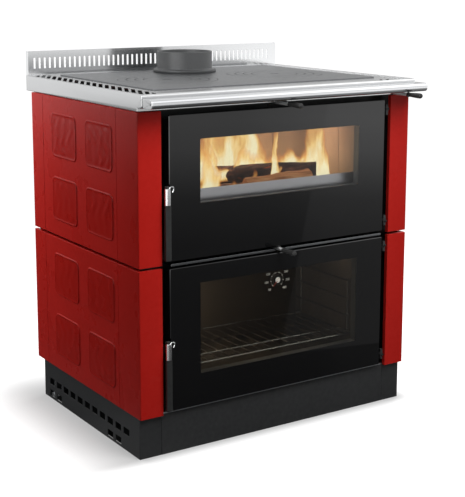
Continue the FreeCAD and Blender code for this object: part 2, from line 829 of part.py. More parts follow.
def hinge(name, z):
    """Two pins with arms on the door, in eyes that stand out of the front frame."""
    plate = size.hinge_plate
    length = size.hinge_pin_length
    pins = []
    for number, (end, way) in enumerate(((z[0], 1), (z[1], -1))):
        middle = end + way * length
        pin = cylinder(f"{name}_pin_{number}", size.hinge_pin_radius, length,
                       (pivot_x, size.hinge_y, middle - length / 2))
        arm_z = (middle, middle + plate) if way > 0 else (middle - plate, middle)
        arm_y = (glass_back, glass_back + 2 * plate)
        arm = box(f"{name}_arm_{number}", (door_edge, pivot_x), arm_y, arm_z)
        pins.append(fuse(f"{name}_hinge_{number}", pin, arm))
        low = arm_z[0] - plate - size.seat_gap if way > 0 else arm_z[1] + size.seat_gap
        eye_z = (low, low + plate)
        ring = cylinder(f"{name}_eye_ring_{number}", size.hinge_eye_radius, plate,
                        (pivot_x, size.hinge_y, low))
        stalk = box(f"{name}_eye_stalk_{number}", (pivot_x - plate, pivot_x + plate),
                    (size.hinge_y, size.frame_front), eye_z)
        bore = cylinder(f"{name}_eye_bore_{number}", size.hinge_pin_radius + size.pin_clearance,
                        plate + 2 * SPARE, (pivot_x, size.hinge_y, low - SPARE))
        blank = fuse(f"{name}_eye_blank_{number}", ring, stalk)
        brackets.append(cut(f"{name}_eye_{number}", blank, bore))
    group(f"{name}_hinge_pins", *pins)


def handle(name, z, handle_z):
    """A lever: steel sleeve on a cross spindle, a flat bar below it and a latch behind it."""
    short = name.replace("_door", "")
    x, half = -pivot_x, size.sleeve_length / 2
    neck = size.neck_width / 2
    axis_y = size.handle_axis_y
    grip = cylinder(f"{short}_grip", size.sleeve_radius, size.sleeve_length,
                    (x, size.handle_y, handle_z - half))
    arm = box(f"{short}_neck", (x - neck, x + neck), (size.handle_y, axis_y),
              (handle_z - neck, handle_z + neck))
    spindle_length = size.spindle_reach - door_edge - x + neck
    spindle = cylinder(f"{short}_spindle", size.spindle_radius, spindle_length,
                       (x - neck, axis_y, handle_z), "x")
    fuse(f"{short}_handle_sleeve", grip, arm, spindle)
    box(f"{short}_handle_bar", (x - size.handle_width / 2, x + size.handle_width / 2),
        (size.handle_y - size.handle_bar_depth / 2, size.handle_y + size.handle_bar_depth / 2),
        (z[0] + size.seal_width / 2, handle_z - half))

    latch_x = (x + neck + size.latch_play, x + neck + size.latch_play + size.latch_thickness)
    tip_y = size.frame_front - size.latch_nose
    hub = size.spindle_radius
    shank = box(f"{short}_latch_shank", latch_x, (axis_y, tip_y), (handle_z - hub, handle_z + hub / 2))
    nose = box(f"{short}_latch_nose", latch_x, (tip_y - size.latch_nose, tip_y),
               (handle_z, handle_z + size.latch_lift))
    boss = cylinder(f"{short}_latch_boss", hub * 2, size.latch_thickness,
                    (latch_x[0], axis_y, handle_z), "x")
    bore = cylinder(f"{short}_latch_bore", hub, size.latch_thickness + 2 * SPARE,
                    (latch_x[0] - SPARE, axis_y, handle_z), "x")
    cut(f"{short}_latch", fuse(f"{short}_latch_blank", shank, nose, boss), bore)
    keeper_z = handle_z + size.latch_lift + size.latch_play
    brackets.append(box(f"{short}_keeper", latch_x, (tip_y - 2 * size.latch_nose, size.frame_front),
                        (keeper_z, keeper_z + size.latch_lift)))


def thermometer():
    """The oven thermometer on the inner glass, with its turning needle."""
    glass_y = size.door_depth - size.inner_glass_thickness
    face_y = glass_y - size.dial_thickness
    needle_y = face_y - size.latch_play - size.needle_thickness
    post_length = glass_y - needle_y
    housing = cylinder("dial_housing", size.dial_radius, size.dial_thickness, (0, face_y, dial_z), "y")
    post = cylinder("dial_post", size.dial_post_radius, post_length, (0, needle_y, dial_z), "y")
    fuse("thermometer_dial", housing, post)
    cold = Rotation(Y, -135)
    needle = Body("thermometer_needle", (0, needle_y + size.needle_thickness, dial_z), cold)
    blade = needle.sketch("XZ_Plane")
    rectangle(blade, (-size.needle_width / 2, size.needle_width / 2), (0, size.needle_length))
    needle.feature("Pad", blade, Length=size.needle_thickness)
    hub = needle.sketch("XZ_Plane")
    circle(hub, 0, 0, size.dial_post_radius * 2)
    needle.feature("Pad", hub, Length=size.needle_thickness)
    bore = needle.sketch("XZ_Plane")
    circle(bore, 0, 0, size.dial_post_radius + size.pin_clearance)
    needle.feature("Pocket", bore, Type="ThroughAll", Midplane=True)


# ---------------------------------------------------------------- worktop

def worktop():
    """The folded steel worktop: nose, skirt, end plates, hob opening, rod notches, grilles."""
    wall = size.top_sheet
    nose_y = -size.worktop_front
    back = worktop_back
    top = Body("worktop_frame", (-half_width, 0, 0))
    fold = top.sketch("YZ_Plane")
    outline(fold, [(nose_y, nose_bottom), (0, nose_bottom), (0, worktop_bottom), (wall, worktop_bottom),
                   (wall, nose_bottom + wall), (nose_y + wall, nose_bottom + wall),
                   (nose_y + wall, worktop_underside), (back - wall, worktop_underside),
                   (back - wall, worktop_bottom), (back, worktop_bottom), (back, worktop_top),
                   (nose_y, worktop_top)])
    top.feature("Pad", fold, Length=size.case_width)
    for x in (0, size.case_width - wall):
        end = top.sketch("YZ_Plane", x)
        outline(end, [(nose_y, nose_bottom), (0, nose_bottom), (0, worktop_bottom), (back, worktop_bottom),
                      (back, worktop_top), (nose_y, worktop_top)])
        top.feature("Pad", end, Length=wall)

    def front_corner(y, *heights):
        def chosen(edge):
            spot = edge.Vertexes[0].Point
            return straight(edge, X) and near(spot.y, y) and near(spot.z, *heights)
        return chosen
    inner = front_corner(nose_y + wall, worktop_underside, nose_bottom + wall)
    top.fillet(size.worktop_nose_radius - wall, inner)
    top.fillet(size.worktop_nose_radius, front_corner(nose_y, worktop_top, nose_bottom))

    opening = top.sketch("XY_Plane", worktop_top + SPARE)
    hob_x = grown((half_width - hob_half, half_width + hob_half), size.hob_gap)
    rectangle(opening, hob_x, grown(hob_y, size.hob_gap))
    top.feature("Pocket", opening, Length=wall + 2 * SPARE)
    notches = top.sketch("XZ_Plane", -(wall + SPARE))
    for x in (size.rod_x, damper_rod_x):
        notch_x = grown((half_width + x, half_width + x), size.rod_notch / 2)
        rectangle(notches, notch_x, (worktop_bottom - SPARE, nose_bottom))
    top.feature("Pocket", notches, Length=wall + 2 * SPARE, Reversed=True)
    start = nose_y + size.grille_margin
    end = back - 2 * size.grille_margin
    room = end - size.grille_slot_length - size.grille_slant - start
    inner_margin = size.grille_side_margin + size.grille_slot_width
    for outer, inner in ((size.grille_side_margin, inner_margin),
                         (size.case_width - size.grille_side_margin,
                          size.case_width - inner_margin)):
        def slanted(y):
            return [(outer, y), (inner, y + size.grille_slant),
                    (inner, y + size.grille_slant + size.grille_slot_length),
                    (outer, y + size.grille_slot_length)]
        grille = top.sketch("XY_Plane", worktop_top + SPARE)
        outline(grille, slanted(start))
        slot = top.feature("Pocket", grille, Length=wall + 2 * SPARE)
        pitches = top.pattern(slot, grille, "V_Axis", size.grille_pitch, room)
        short = top.sketch("XY_Plane", worktop_top + SPARE)
        for extra in (1, 2):
            outline(short, above(slanted(start - extra * size.grille_pitch), start))
        for extra in (1, 2, 3):
            y = start + (pitches + extra) * size.grille_pitch
            if float(y) < float(end) - SHORTEST:
                outline(short, below(slanted(y), end))
        top.feature("Pocket", short, Length=wall + 2 * SPARE)


def hob_plate():
    """The cast plate with two stepped seats and the flue opening."""
    plate = Body("hob_plate", (0, 0, hob_underside))
    plan = plate.sketch("XY_Plane")
    rectangle(plan, (-hob_half, hob_half), hob_y)
    for side in (-1, 1):
        circle(plan, side * disc_x, disc_y, size.disc_radius - size.disc_step)
    circle(plan, 0, flue_y, size.flue_bore_radius)
    plate.feature("Pad", plan, Length=size.hob_thickness)
    seats = plate.sketch("XY_Plane", size.hob_thickness + SPARE)
    for side in (-1, 1):
        circle(seats, side * disc_x, disc_y, size.disc_radius + size.disc_gap)
    plate.feature("Pocket", seats, Length=size.hob_thickness / 2 + size.seat_gap + SPARE)


def hob_disc(name, x):
    """A stepped lift-out disc with ring grooves and a slot for the lifting iron."""
    thick = size.hob_thickness
    inner = size.disc_radius - size.disc_step - size.disc_gap
    disc = Body(f"{name}_hob_disc", (x, disc_y, hob_underside))
    profile = disc.sketch("XZ_Plane")
    outline(profile, [(0, 0), (inner, 0), (inner, thick / 2), (size.disc_radius, thick / 2),
                      (size.disc_radius, thick), (0, thick)])
    disc.turned("Revolution", profile)
    rings = disc.sketch("XZ_Plane")
    for ring in (1, 2, 3):
        inner_edge = size.disc_radius - size.disc_groove_pitch * ring
        rectangle(rings, (inner_edge, inner_edge + size.disc_groove_width),
                  (thick - size.disc_groove_depth, thick + SPARE))
    disc.turned("Groove", rings)
    lifting = disc.sketch("XY_Plane", thick + SPARE)
    rectangle(lifting, grown((0, 0), size.lift_slot_length / 2),
              grown((0, 0), size.lift_slot_width / 2))
    disc.feature("Pocket", lifting, Length=thick / 2 + SPARE)


def flue_collar():
    """The cast collar that the flue pipe slips over."""
    bore = size.flue_bore_radius
    tube = bore + size.flue_wall
    collar = Body("flue_collar", (0, flue_y, hob_top))
    section = collar.sketch("XZ_Plane")
    outline(section, [(bore, 0), (size.flue_flange_radius, 0),
                      (size.flue_flange_radius, size.flue_flange_height),
                      (tube, size.flue_flange_height), (tube, size.flue_height), (bore, size.flue_height)])
    collar.turned("Revolution", section)


def splashback():
    """The upright steel strip at the back with a long row of slots and short side returns."""
    wall = size.splash_wall
    wide = half_width - wall
    back = size.splash_depth
    splash = Body("splashback", (0, worktop_depth - back, worktop_top))
    plan = splash.sketch("XY_Plane")
    outline(plan, [(-wide, 0), (wide, 0), (wide, back), (wide - wall, back), (wide - wall, wall),
                   (wall - wide, wall), (wall - wide, back), (-wide, back)])
    splash.feature("Pad", plan, Length=size.splash_height)
    row = splash.sketch("XZ_Plane")
    start = size.splash_slot_margin - wide
    rectangle(row, (start, start + size.splash_slot_width),
              (size.splash_slot_rise, size.splash_slot_rise + size.splash_slot_height))
    slot = splash.feature("Pocket", row, Length=wall + SPARE)
    room = 2 * wide - 2 * size.splash_slot_margin - size.splash_slot_width
    splash.pattern(slot, row, "H_Axis", size.splash_slot_pitch, room)


def rail_blank(label, x, length, screw_hole):
    """A length of the rail's D section, with its rounded nose to the front."""
    depth = size.rail_depth
    high = size.rail_height
    blank = Body(label, (x, -rail_y[0], rail_z[0]))
    section = blank.sketch("YZ_Plane")
    rectangle(section, (0, depth), (0, high))
    if screw_hole:
        circle(section, size.rail_nose_radius, high / 2, size.rail_screw_radius)
    blank.feature("Pad", section, Length=length)
    for y, radius in ((0, size.rail_nose_radius), (depth, size.rail_rear_radius)):
        blank.fillet(radius, lambda edge: straight(edge, X) and near(edge.Vertexes[0].Point.y, y))
    return blank


def front_rail():
    """The hollow towel rail on bosses, closed by drilled end plates."""
    wall = size.rail_wall
    depth = size.rail_depth
    high = size.rail_height
    length = size.case_width - 2 * wall
    rail = rail_blank("front_rail", wall - half_width, length, False)
    hollow = rail.sketch("YZ_Plane")
    rectangle(hollow, (size.rail_nose_radius, depth - wall), (wall, high - wall))
    rail.feature("Pocket", hollow, Length=length, Reversed=True)
    left = rail_blank("rail_cap_left", -half_width, wall, True)
    right = rail_blank("rail_cap_right", half_width - wall, wall, True)
    group("rail_end_caps", left.body, right.body)
    reach = half_width - size.rail_boss_inset
    middle_z = (rail_z[0] + rail_z[1]) / 2
    bosses = [cylinder(f"rail_boss_{number}", size.rail_boss_radius, size.rail_stand_off,
                       (x, -rail_y[1], middle_z), "y")
              for number, x in enumerate((-reach, -reach / 3, reach / 3, reach))]
    group("rail_bosses", *bosses)


# ---------------------------------------------------------------- pull rods and damper

def air_rod(name, z, knob_start):
    """A pull rod with a valve disc, which closes the air holes when it is pulled against them."""
    valve_y = frame_back + size.air_travel + size.seat_gap
    end = valve_y + size.air_valve_thickness
    shaft = cylinder(f"{name}_shaft", size.rod_radius, knob_start + end,
                     (size.rod_x, -knob_start, z), "y")
    valve = cylinder(f"{name}_valve", size.air_valve_radius, size.air_valve_thickness,
                     (size.rod_x, valve_y, z), "y")
    fuse(f"{name}_rod", shaft, valve)
    pull_knob(name, size.rod_x, z, knob_start)


def damper_rod():
    """The pull rod that runs back along the flue box to the damper's crank."""
    start = size.damper_knob_start
    cylinder("damper_rod", size.rod_radius, start + damper_y + size.damper_rod_tail,
             (damper_rod_x, -start, damper_rod_z), "y")
    pull_knob("damper", damper_rod_x, damper_rod_z, start)


def pull_knob(name, x, z, knob_start):
    """The turned steel knob on the front end of a rod."""
    long, wide = size.knob_length, size.knob_radius
    knob = Body(f"{name}_knob", (x, -knob_start - long, z))
    profile = knob.sketch("XY_Plane")
    outline(profile, [(0, 0), (wide * 0.6, 0), (wide, long * 0.08), (wide * 0.85, long * 0.6),
                      (wide * 0.65, long * 0.86), (wide * 0.9, long), (0, long)])
    knob.turned("Revolution", profile)


def flue_damper():
    """The smoke flap behind the rear brick, on a spindle with a crank outside the shell."""
    left = -firebox_half - size.latch_play
    right = damper_rod_x - size.rod_radius - size.damper_crank_gap
    flap_end = shell_inside - size.damper_side_gap
    half = size.damper_thickness / 2
    y, z = damper_y, damper_z
    spindle = cylinder("damper_spindle", size.spindle_radius, right - left, (left, y, z), "x")
    flap = box("damper_flap", (-flap_end, flap_end), (y - half, y + half),
               (z - size.damper_height, z))
    crank = box("damper_crank", (right - size.damper_thickness, right),
                (y - size.spindle_radius, y + size.spindle_radius), (z - size.damper_crank, z))
    fuse("flue_damper", spindle, flap, crank)


plinth()
casing()
front_frame()
firebox()
oven()
door("fire_door", fire_door_z, fire_window_z, fire_handle_z)
door("oven_door", oven_door_z, oven_window_z, oven_handle_z)
group("door_brackets", *brackets)
thermometer()
worktop()
hob_plate()
hob_disc("left", -disc_x)
hob_disc("right", disc_x)
flue_collar()
splashback()
front_rail()
air_rod("top_air", top_rod_z, size.knob_start)
air_rod("low_air", seam_z, size.low_air_knob_start)
damper_rod()
flue_damper()

NODES = [
    "plinth_front", "plinth_left", "plinth_right", "plinth_back", "plinth_feet", "base_pan",
    "left_lower_panel", "left_upper_panel", "right_lower_panel", "right_upper_panel", "rear_panel",
    "front_frame", "mid_trim", "firebox_shell", "left_firebrick", "right_firebrick", "rear_firebrick",
    "baffle", "fire_grate", "ash_drawer", "log_guard", "oven_box", "left_rack_runner",
    "right_rack_runner", "oven_rack", "fire_door_glass", "fire_door_frame", "fire_door_inner_glass",
    "fire_door_seal", "fire_door_hinge_pins", "fire_handle_sleeve", "fire_handle_bar", "fire_latch",
    "oven_door_glass", "oven_door_frame", "oven_door_inner_glass", "oven_door_seal",
    "oven_door_hinge_pins", "oven_handle_sleeve", "oven_handle_bar", "oven_latch", "door_brackets",
    "thermometer_dial", "thermometer_needle", "worktop_frame", "hob_plate", "left_hob_disc",
    "right_hob_disc", "flue_collar", "splashback", "front_rail", "rail_end_caps", "rail_bosses",
    "top_air_rod", "top_air_knob", "low_air_rod", "low_air_knob", "damper_rod", "damper_knob",
    "flue_damper",
]

doc.recompute()
for item in doc.Objects:
    if "Invalid" in item.State or "Error" in item.State:
        raise RuntimeError(f"{item.Label} failed: {item.State}")
os.makedirs("parts", exist_ok=True)
for node in NODES:
    item = doc.getObjectsByLabel(node)[0]
    if item.Shape.isNull() or not item.Shape.isValid():
        raise RuntimeError(f"{node} has no valid shape")
    item.Shape.exportStep(f"parts/{node}.step")
print(f"{len(NODES)} sub-parts written")
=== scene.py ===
"""Looks of a wood-fired range cooker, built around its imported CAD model.

The CAD model gives every place and size. This script softens its edges, replaces the pieces that
need a finer shape and gives each surface its finish. Lengths in the classes are millimetres from
the middle of the front face at floor level; the scene itself is in metres.
"""

from __future__ import annotations

import logging
import math
import random
from dataclasses import dataclass, field
from enum import Enum
from functools import cache
from typing import Callable, Iterable, Sequence

import bmesh
import bpy
from bmesh.types import BMesh, BMVert
from bpy.types import Material, Node, NodeSocket, NodeTree, Object, Scene
from mathutils import Matrix, Vector, noise


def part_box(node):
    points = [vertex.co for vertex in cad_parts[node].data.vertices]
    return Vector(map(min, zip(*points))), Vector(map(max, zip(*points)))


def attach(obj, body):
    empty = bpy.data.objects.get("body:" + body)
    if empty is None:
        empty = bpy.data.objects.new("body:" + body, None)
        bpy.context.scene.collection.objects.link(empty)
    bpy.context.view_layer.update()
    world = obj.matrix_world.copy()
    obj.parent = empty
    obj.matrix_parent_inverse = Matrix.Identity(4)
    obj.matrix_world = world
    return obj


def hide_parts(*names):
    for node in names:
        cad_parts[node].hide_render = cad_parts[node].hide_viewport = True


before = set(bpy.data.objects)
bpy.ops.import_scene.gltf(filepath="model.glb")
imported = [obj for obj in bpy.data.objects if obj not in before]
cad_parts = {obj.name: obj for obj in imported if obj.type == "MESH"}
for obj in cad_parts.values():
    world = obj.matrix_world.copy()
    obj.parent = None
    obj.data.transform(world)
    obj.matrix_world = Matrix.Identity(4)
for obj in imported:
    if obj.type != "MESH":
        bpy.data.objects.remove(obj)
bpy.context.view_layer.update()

LOG = logging.getLogger("cooker")
MM = 0.001
FRONT = -254.25
SEED = 7
Triple = tuple[float, float, float]
Span = tuple[float, float]


def place(x: float, y: float, z: float) -> Vector:
    """Turns a point in millimetres from the front face into a scene point in metres.

    Args:
        x: distance to the right of the middle.
        y: distance behind the front face.
        z: height above the floor.

    Returns:
        The point in the scene.
    """
    return Vector((x, y + FRONT, z)) * MM


def millimetres(node: str) -> tuple[Vector, Vector]:
    """Gives a CAD node's lowest and highest corners in millimetres from the front face.

    Args:
        node: the CAD node's name.

    Returns:
        The lowest and the highest corner.
    """
    shift = Vector((0, FRONT, 0))
    low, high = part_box(node)
    return low / MM - shift, high / MM - shift


def linear(colour: str) -> tuple[float, float, float, float]:
    """Turns a six-digit display colour into linear light.

    Args:
        colour: two hexadecimal digits each for red, green and blue.

    Returns:
        Red, green, blue and an opacity of 1.
    """
    parts = [int(colour[i:i + 2], 16) / 255 for i in (0, 2, 4)]
    light = [p / 12.92 if p <= 0.04045 else ((p + 0.055) / 1.055) ** 2.4 for p in parts]
    return (light[0], light[1], light[2], 1.0)


class Group(Enum):
    """The bodies that move as one."""

    COOKER = "cooker"
    FIRE_DOOR = "fire_door"
    FIRE_HANDLE = "fire_handle"
    OVEN_DOOR = "oven_door"
    OVEN_HANDLE = "oven_handle"
    NEEDLE = "needle"
    LEFT_DISC = "left_disc"
    RIGHT_DISC = "right_disc"
    TOP_AIR = "top_air"
    LOW_AIR = "low_air"
    DAMPER_PULL = "damper_pull"


class Slot(Enum):
    """The record's material slots, named for the pieces here; the script passes them along but
    nothing reads them.
    """

    RED_ENAMEL = "red_enamel"
    BLACK_STEEL = "black_steel"
    STAINLESS = "stainless"
    GALVANISED = "galvanised"
    HOB_IRON = "hob_iron"
    COLLAR_IRON = "collar_iron"
    GRATE_IRON = "grate_iron"
    FLUE_BOX = "flue_box"
    BLACK_GLASS = "black_glass"
    FIREBRICK = "firebrick"
    OVEN_ENAMEL = "oven_enamel"
    SEAL_ROPE = "seal_rope"
    DIAL_FACE = "dial_face"
    NEEDLE_RED = "needle_red"
    PLINTH_BLACK = "plinth_black"
    KNOB_BLACK = "knob_black"


class Wires:
    """Adds nodes to a node tree and joins them up."""

    def __init__(self, tree: NodeTree) -> None:
        """Keeps the tree that the nodes go into."""
        self.tree = tree

    def put(self, socket: NodeSocket, value: object) -> None:
        """Sets a socket to a value, or joins another socket to it.

        Args:
            socket: the input socket.
            value: a plain value, or the output socket to join.
        """
        if isinstance(value, NodeSocket):
            self.tree.links.new(value, socket)
        else:
            socket.default_value = value

    def node(self, kind: str, inputs: dict[str | int, object] | None = None,
             **settings: object) -> Node:
        """Adds one node.

        Args:
            kind: the node's type name, where a shader node's goes without its first part.
            inputs: values or sockets for its inputs, by name or number.
            settings: the node's own settings.

        Returns:
            The new node.
        """
        node = self.tree.nodes.new(kind if "Node" in kind else f"ShaderNode{kind}")
        for key, value in settings.items():
            setattr(node, key, value)
        for key, value in (inputs or {}).items():
            self.put(node.inputs[key], value)
        return node

    def math(self, operation: str, *values: object, clamp: bool = False) -> NodeSocket:
        """Adds a Math node.

        Args:
            operation: what it does.
            values: its numbers or sockets, in order.
            clamp: whether the result is kept between 0 and 1.

        Returns:
            The result's socket.
        """
        node = self.node("Math", dict(enumerate(values)), operation=operation, use_clamp=clamp)
        return node.outputs[0]

    def ramp(self, value: object, *stops: tuple[float, object]) -> NodeSocket:
        """Adds a colour ramp.

        Args:
            value: the number or socket that it reads.
            stops: each stop's position and its grey level or colour.

        Returns:
            The colour's socket.
        """
        node = self.node("ValToRGB", {"Fac": value})
        elements = node.color_ramp.elements
        while len(elements) < len(stops):
            elements.new(0.5)
        for element, (position, shade) in zip(elements, stops):
            element.position = position
            element.color = shade if isinstance(shade, tuple) else (shade, shade, shade, 1.0)
        return node.outputs["Color"]

    def blend(self, factor: object, first: object, second: object, how: str = "MIX") -> NodeSocket:
        """Adds a colour Mix node.

        Args:
            factor: how much of the second colour shows.
            first: the first colour or socket.
            second: the second colour or socket.
            how: the blend type.

        Returns:
            The mixed colour's socket.
        """
        node = self.node("Mix", {0: factor, 6: first, 7: second}, data_type="RGBA", blend_type=how)
        return node.outputs[2]

    def spots(self, scale: Triple | float, size: float, detail: float = 3.0,
              offset: Triple = (0.0, 0.0, 0.0)) -> NodeSocket:
        """Adds noise in object space, stretched by a scale.

        Args:
            scale: the stretch along each axis, or one number for all.
            size: the noise's scale.
            detail: its detail.
            offset: a shift, so that two patterns differ.

        Returns:
            The noise factor's socket.
        """
        stretch = scale if isinstance(scale, tuple) else (scale, scale, scale)
        where = self.node("TexCoord").outputs["Object"]
        mapped = self.node("Mapping",
                           {"Vector": where, "Scale": stretch, "Location": offset}).outputs[0]
        return self.node("TexNoise", {"Vector": mapped, "Scale": size,
                                                "Detail": detail}).outputs[0]

    def group(self, tree: NodeTree, **inputs: object) -> Node:
        """Places a node group.

        Args:
            tree: the group's tree.
            inputs: its inputs by name, with _ for a space.

        Returns:
            The group node.
        """
        node = self.node("Group", node_tree=tree)
        for key, value in inputs.items():
            self.put(node.inputs[key.replace("_", " ")], value)
        return node


def shader_group(name: str, inputs: dict[str, object],
                 outputs: dict[str, str]) -> tuple[NodeTree, Wires, Node,
                                                   Node]:
    """Makes an empty shader group with named sockets.

    Args:
        name: the group's name.
        inputs: each input's default, whose type picks the socket.
        outputs: each output's socket type.

    Returns:
        The tree, its wires, and its input and output nodes.
    """
    tree = bpy.data.node_groups.new(name, "ShaderNodeTree")
    kinds = {float: "NodeSocketFloat", tuple: "NodeSocketColor", Vector: "NodeSocketVector"}
    for key, value in inputs.items():
        socket = tree.interface.new_socket(key, in_out="INPUT", socket_type=kinds[type(value)])
        socket.default_value = value
    for key, kind in outputs.items():
        tree.interface.new_socket(key, in_out="OUTPUT", socket_type=kind)
    wires = Wires(tree)
    return tree, wires, wires.node("NodeGroupInput"), wires.node("NodeGroupOutput")


class Effects:
    """Shader groups that several finishes share."""

    @classmethod
    @cache
    def tone_drift(cls) -> NodeTree:
        """Gives the group that lets a colour drift slowly lighter and darker."""
        tree, wires, start, end = shader_group(
            "tone_drift", {"Colour": (0.5, 0.5, 0.5, 1.0), "Amount": 0.2, "Scale": 4.0},
            {"Colour": "NodeSocketColor"})
        where = wires.node("TexCoord").outputs["Object"]
        cloud = wires.node("TexNoise", {
            "Vector": where, "Scale": start.outputs["Scale"], "Detail": 4.0}).outputs[0]
        shift = wires.math("MULTIPLY", wires.math("SUBTRACT", cloud, 0.5), start.outputs["Amount"])
        level = wires.math("ADD", 1.0, shift)
        tint = wires.node("CombineXYZ", {0: level, 1: level, 2: level}).outputs[0]
        colour = wires.blend(1.0, start.outputs["Colour"], tint, "MULTIPLY")
        wires.put(end.inputs["Colour"], colour)
        return tree

    @classmethod
    @cache
    def grain(cls) -> NodeTree:
        """Gives the group for brushed or cast grain, which turns on faces that look sideways."""
        tree, wires, start, end = shader_group(
            "grain", {"Stretch": Vector((1.0, 1.0, 1.0)), "Sideways": Vector((1.0, 1.0, 1.0)),
                      "Scale": 60.0, "Coarse": 0.3},
            {"Mask": "NodeSocketFloat"})
        place_on = wires.node("TexCoord")
        across = wires.node("SeparateXYZ", {0: place_on.outputs["Normal"]})
        sideways = wires.math("GREATER_THAN", wires.math("ABSOLUTE", across.outputs[0]), 0.7)
        stretch = wires.node("Mix", {
            0: sideways, 4: start.outputs["Stretch"], 5: start.outputs["Sideways"]},
            data_type="VECTOR").outputs[1]
        mapped = wires.node("VectorMath", {
            0: place_on.outputs["Object"], 1: stretch}, operation="MULTIPLY").outputs[0]
        fine = wires.node("TexNoise", {
            "Vector": mapped, "Scale": start.outputs["Scale"], "Detail": 4.0}).outputs[0]
        slow = wires.math("MULTIPLY", start.outputs["Scale"], 0.13)
        wide = wires.node("TexNoise", {"Vector": mapped, "Scale": slow, "Detail": 2.0}).outputs[0]
        mask = wires.node("Mix", {0: start.outputs["Coarse"], 2: fine, 3: wide})
        wires.put(end.inputs["Mask"], mask.outputs[0])
        return tree

    @classmethod
    @cache
    def edge_wear_and_highlight(cls) -> NodeTree:
        """Gives the group that lightens a colour along edges, broken by noise: rubbed, handled
        edges on paint, and a painted highlight on enamel.
        """
        tree, wires, start, end = shader_group(
            "edge_wear_and_highlight", {"Colour": (0.1, 0.1, 0.1, 1.0), "Worn": (0.4, 0.4, 0.4, 1.0),
                          "Amount": 0.5},
            {"Colour": "NodeSocketColor", "Mask": "NodeSocketFloat"})
        sharp = wires.node("NewGeometry").outputs["Pointiness"]
        rim = wires.node("MapRange", {"Value": sharp, "From Min": 0.52,
                                                "From Max": 0.62}).outputs[0]
        broken = wires.math("MULTIPLY", rim, wires.spots(1.0, 90.0))
        mask = wires.math("MULTIPLY", broken, start.outputs["Amount"], clamp=True)
        wires.put(end.inputs["Mask"], mask)
        wires.put(end.inputs["Colour"],
                  wires.blend(mask, start.outputs["Colour"], start.outputs["Worn"]))
        return tree

    @classmethod
    @cache
    def dust(cls) -> NodeTree:
        """Gives the group that settles pale dust or ash on faces that look up."""
        tree, wires, start, end = shader_group(
            "dust", {"Colour": (0.1, 0.1, 0.1, 1.0), "Dust": (0.5, 0.48, 0.45, 1.0),
                     "Amount": 0.2},
            {"Colour": "NodeSocketColor"})
        normal = wires.node("NewGeometry").outputs["Normal"]
        up = wires.node("SeparateXYZ", {0: normal}).outputs[2]
        lying = wires.math("MULTIPLY", wires.math("MAXIMUM", up, 0.0), wires.spots(1.0, 25.0, 5.0))
        mask = wires.math("MULTIPLY", lying, start.outputs["Amount"], clamp=True)
        wires.put(end.inputs["Colour"],
                  wires.blend(mask, start.outputs["Colour"], start.outputs["Dust"]))
        return tree


@dataclass(frozen=True)
class Finish:
    """A surface finish, made as one Principled material."""

    name: str
    colour: str = "808080"
    roughness: float = 0.4
    metallic: float = 0.0

    def material(self) -> Material:
        """Makes the material, or finds it where it was made before.

        Returns:
            The material.
        """
        found = bpy.data.materials.get(self.name)
        if found:
            return found
        material = bpy.data.materials.new(self.name)
        material.use_nodes = True
        shader = material.node_tree.nodes["Principled BSDF"]
        shader.inputs["Base Color"].default_value = linear(self.colour)
        shader.inputs["Roughness"].default_value = self.roughness
        shader.inputs["Metallic"].default_value = self.metallic
        material.diffuse_color = linear(self.colour)
        self.dress(Wires(material.node_tree), shader)
        return material

    def dress(self, wires: Wires, shader: Node) -> None:
        """Adds what varies over the surface."""

    def bump(self, wires: Wires, shader: Node, height: object, strength: float,
             depth: float) -> None:
        """Feeds a height into the shader's normal.

        Args:
            wires: the material's wires.
            shader: the Principled shader.
            height: the height's socket.
            strength: how strong the bump is.
            depth: its depth in metres.
        """
        bump = wires.node("Bump", {"Height": height, "Strength": strength, "Distance": depth})
        wires.put(shader.inputs["Normal"], bump.outputs[0])


@dataclass(frozen=True)
class Enamel(Finish):
    """Glossy vitreous enamel on a casting, with a faint orange peel and darker low spots."""

    drift: float = 0.16
    peel: float = 0.06
    coat: float = 0.25

    def dress(self, wires: Wires, shader: Node) -> None:
        """Adds colour drift, a paler red along sharp edges as a painted highlight, cloudy gloss
        and orange peel.
        """
        base = wires.group(Effects.tone_drift(), Colour=linear(self.colour), Amount=self.drift,
                           Scale=5.0).outputs[0]
        # Paler red along sharp edges: a painted highlight.
        painted_highlight_red = tuple(min(1.0, c * 1.5 + 0.02) for c in linear(self.colour)[:3]) + (1.0,)
        edge_toned = wires.group(Effects.edge_wear_and_highlight(), Colour=base, Worn=painted_highlight_red, Amount=0.55)
        wires.put(shader.inputs["Base Color"], edge_toned.outputs["Colour"])
        cloud = wires.ramp(wires.spots(1.0, 14.0), (0.3, self.roughness * 0.8),
                           (0.7, self.roughness * 1.2))
        wires.put(shader.inputs["Roughness"], cloud)
        shader.inputs["Specular IOR Level"].default_value = 0.06
        shader.inputs["Coat Weight"].default_value = self.coat
        shader.inputs["Coat Roughness"].default_value = 0.08
        self.bump(wires, shader, wires.spots(1.0, 130.0, 2.0), self.peel, 0.0006)


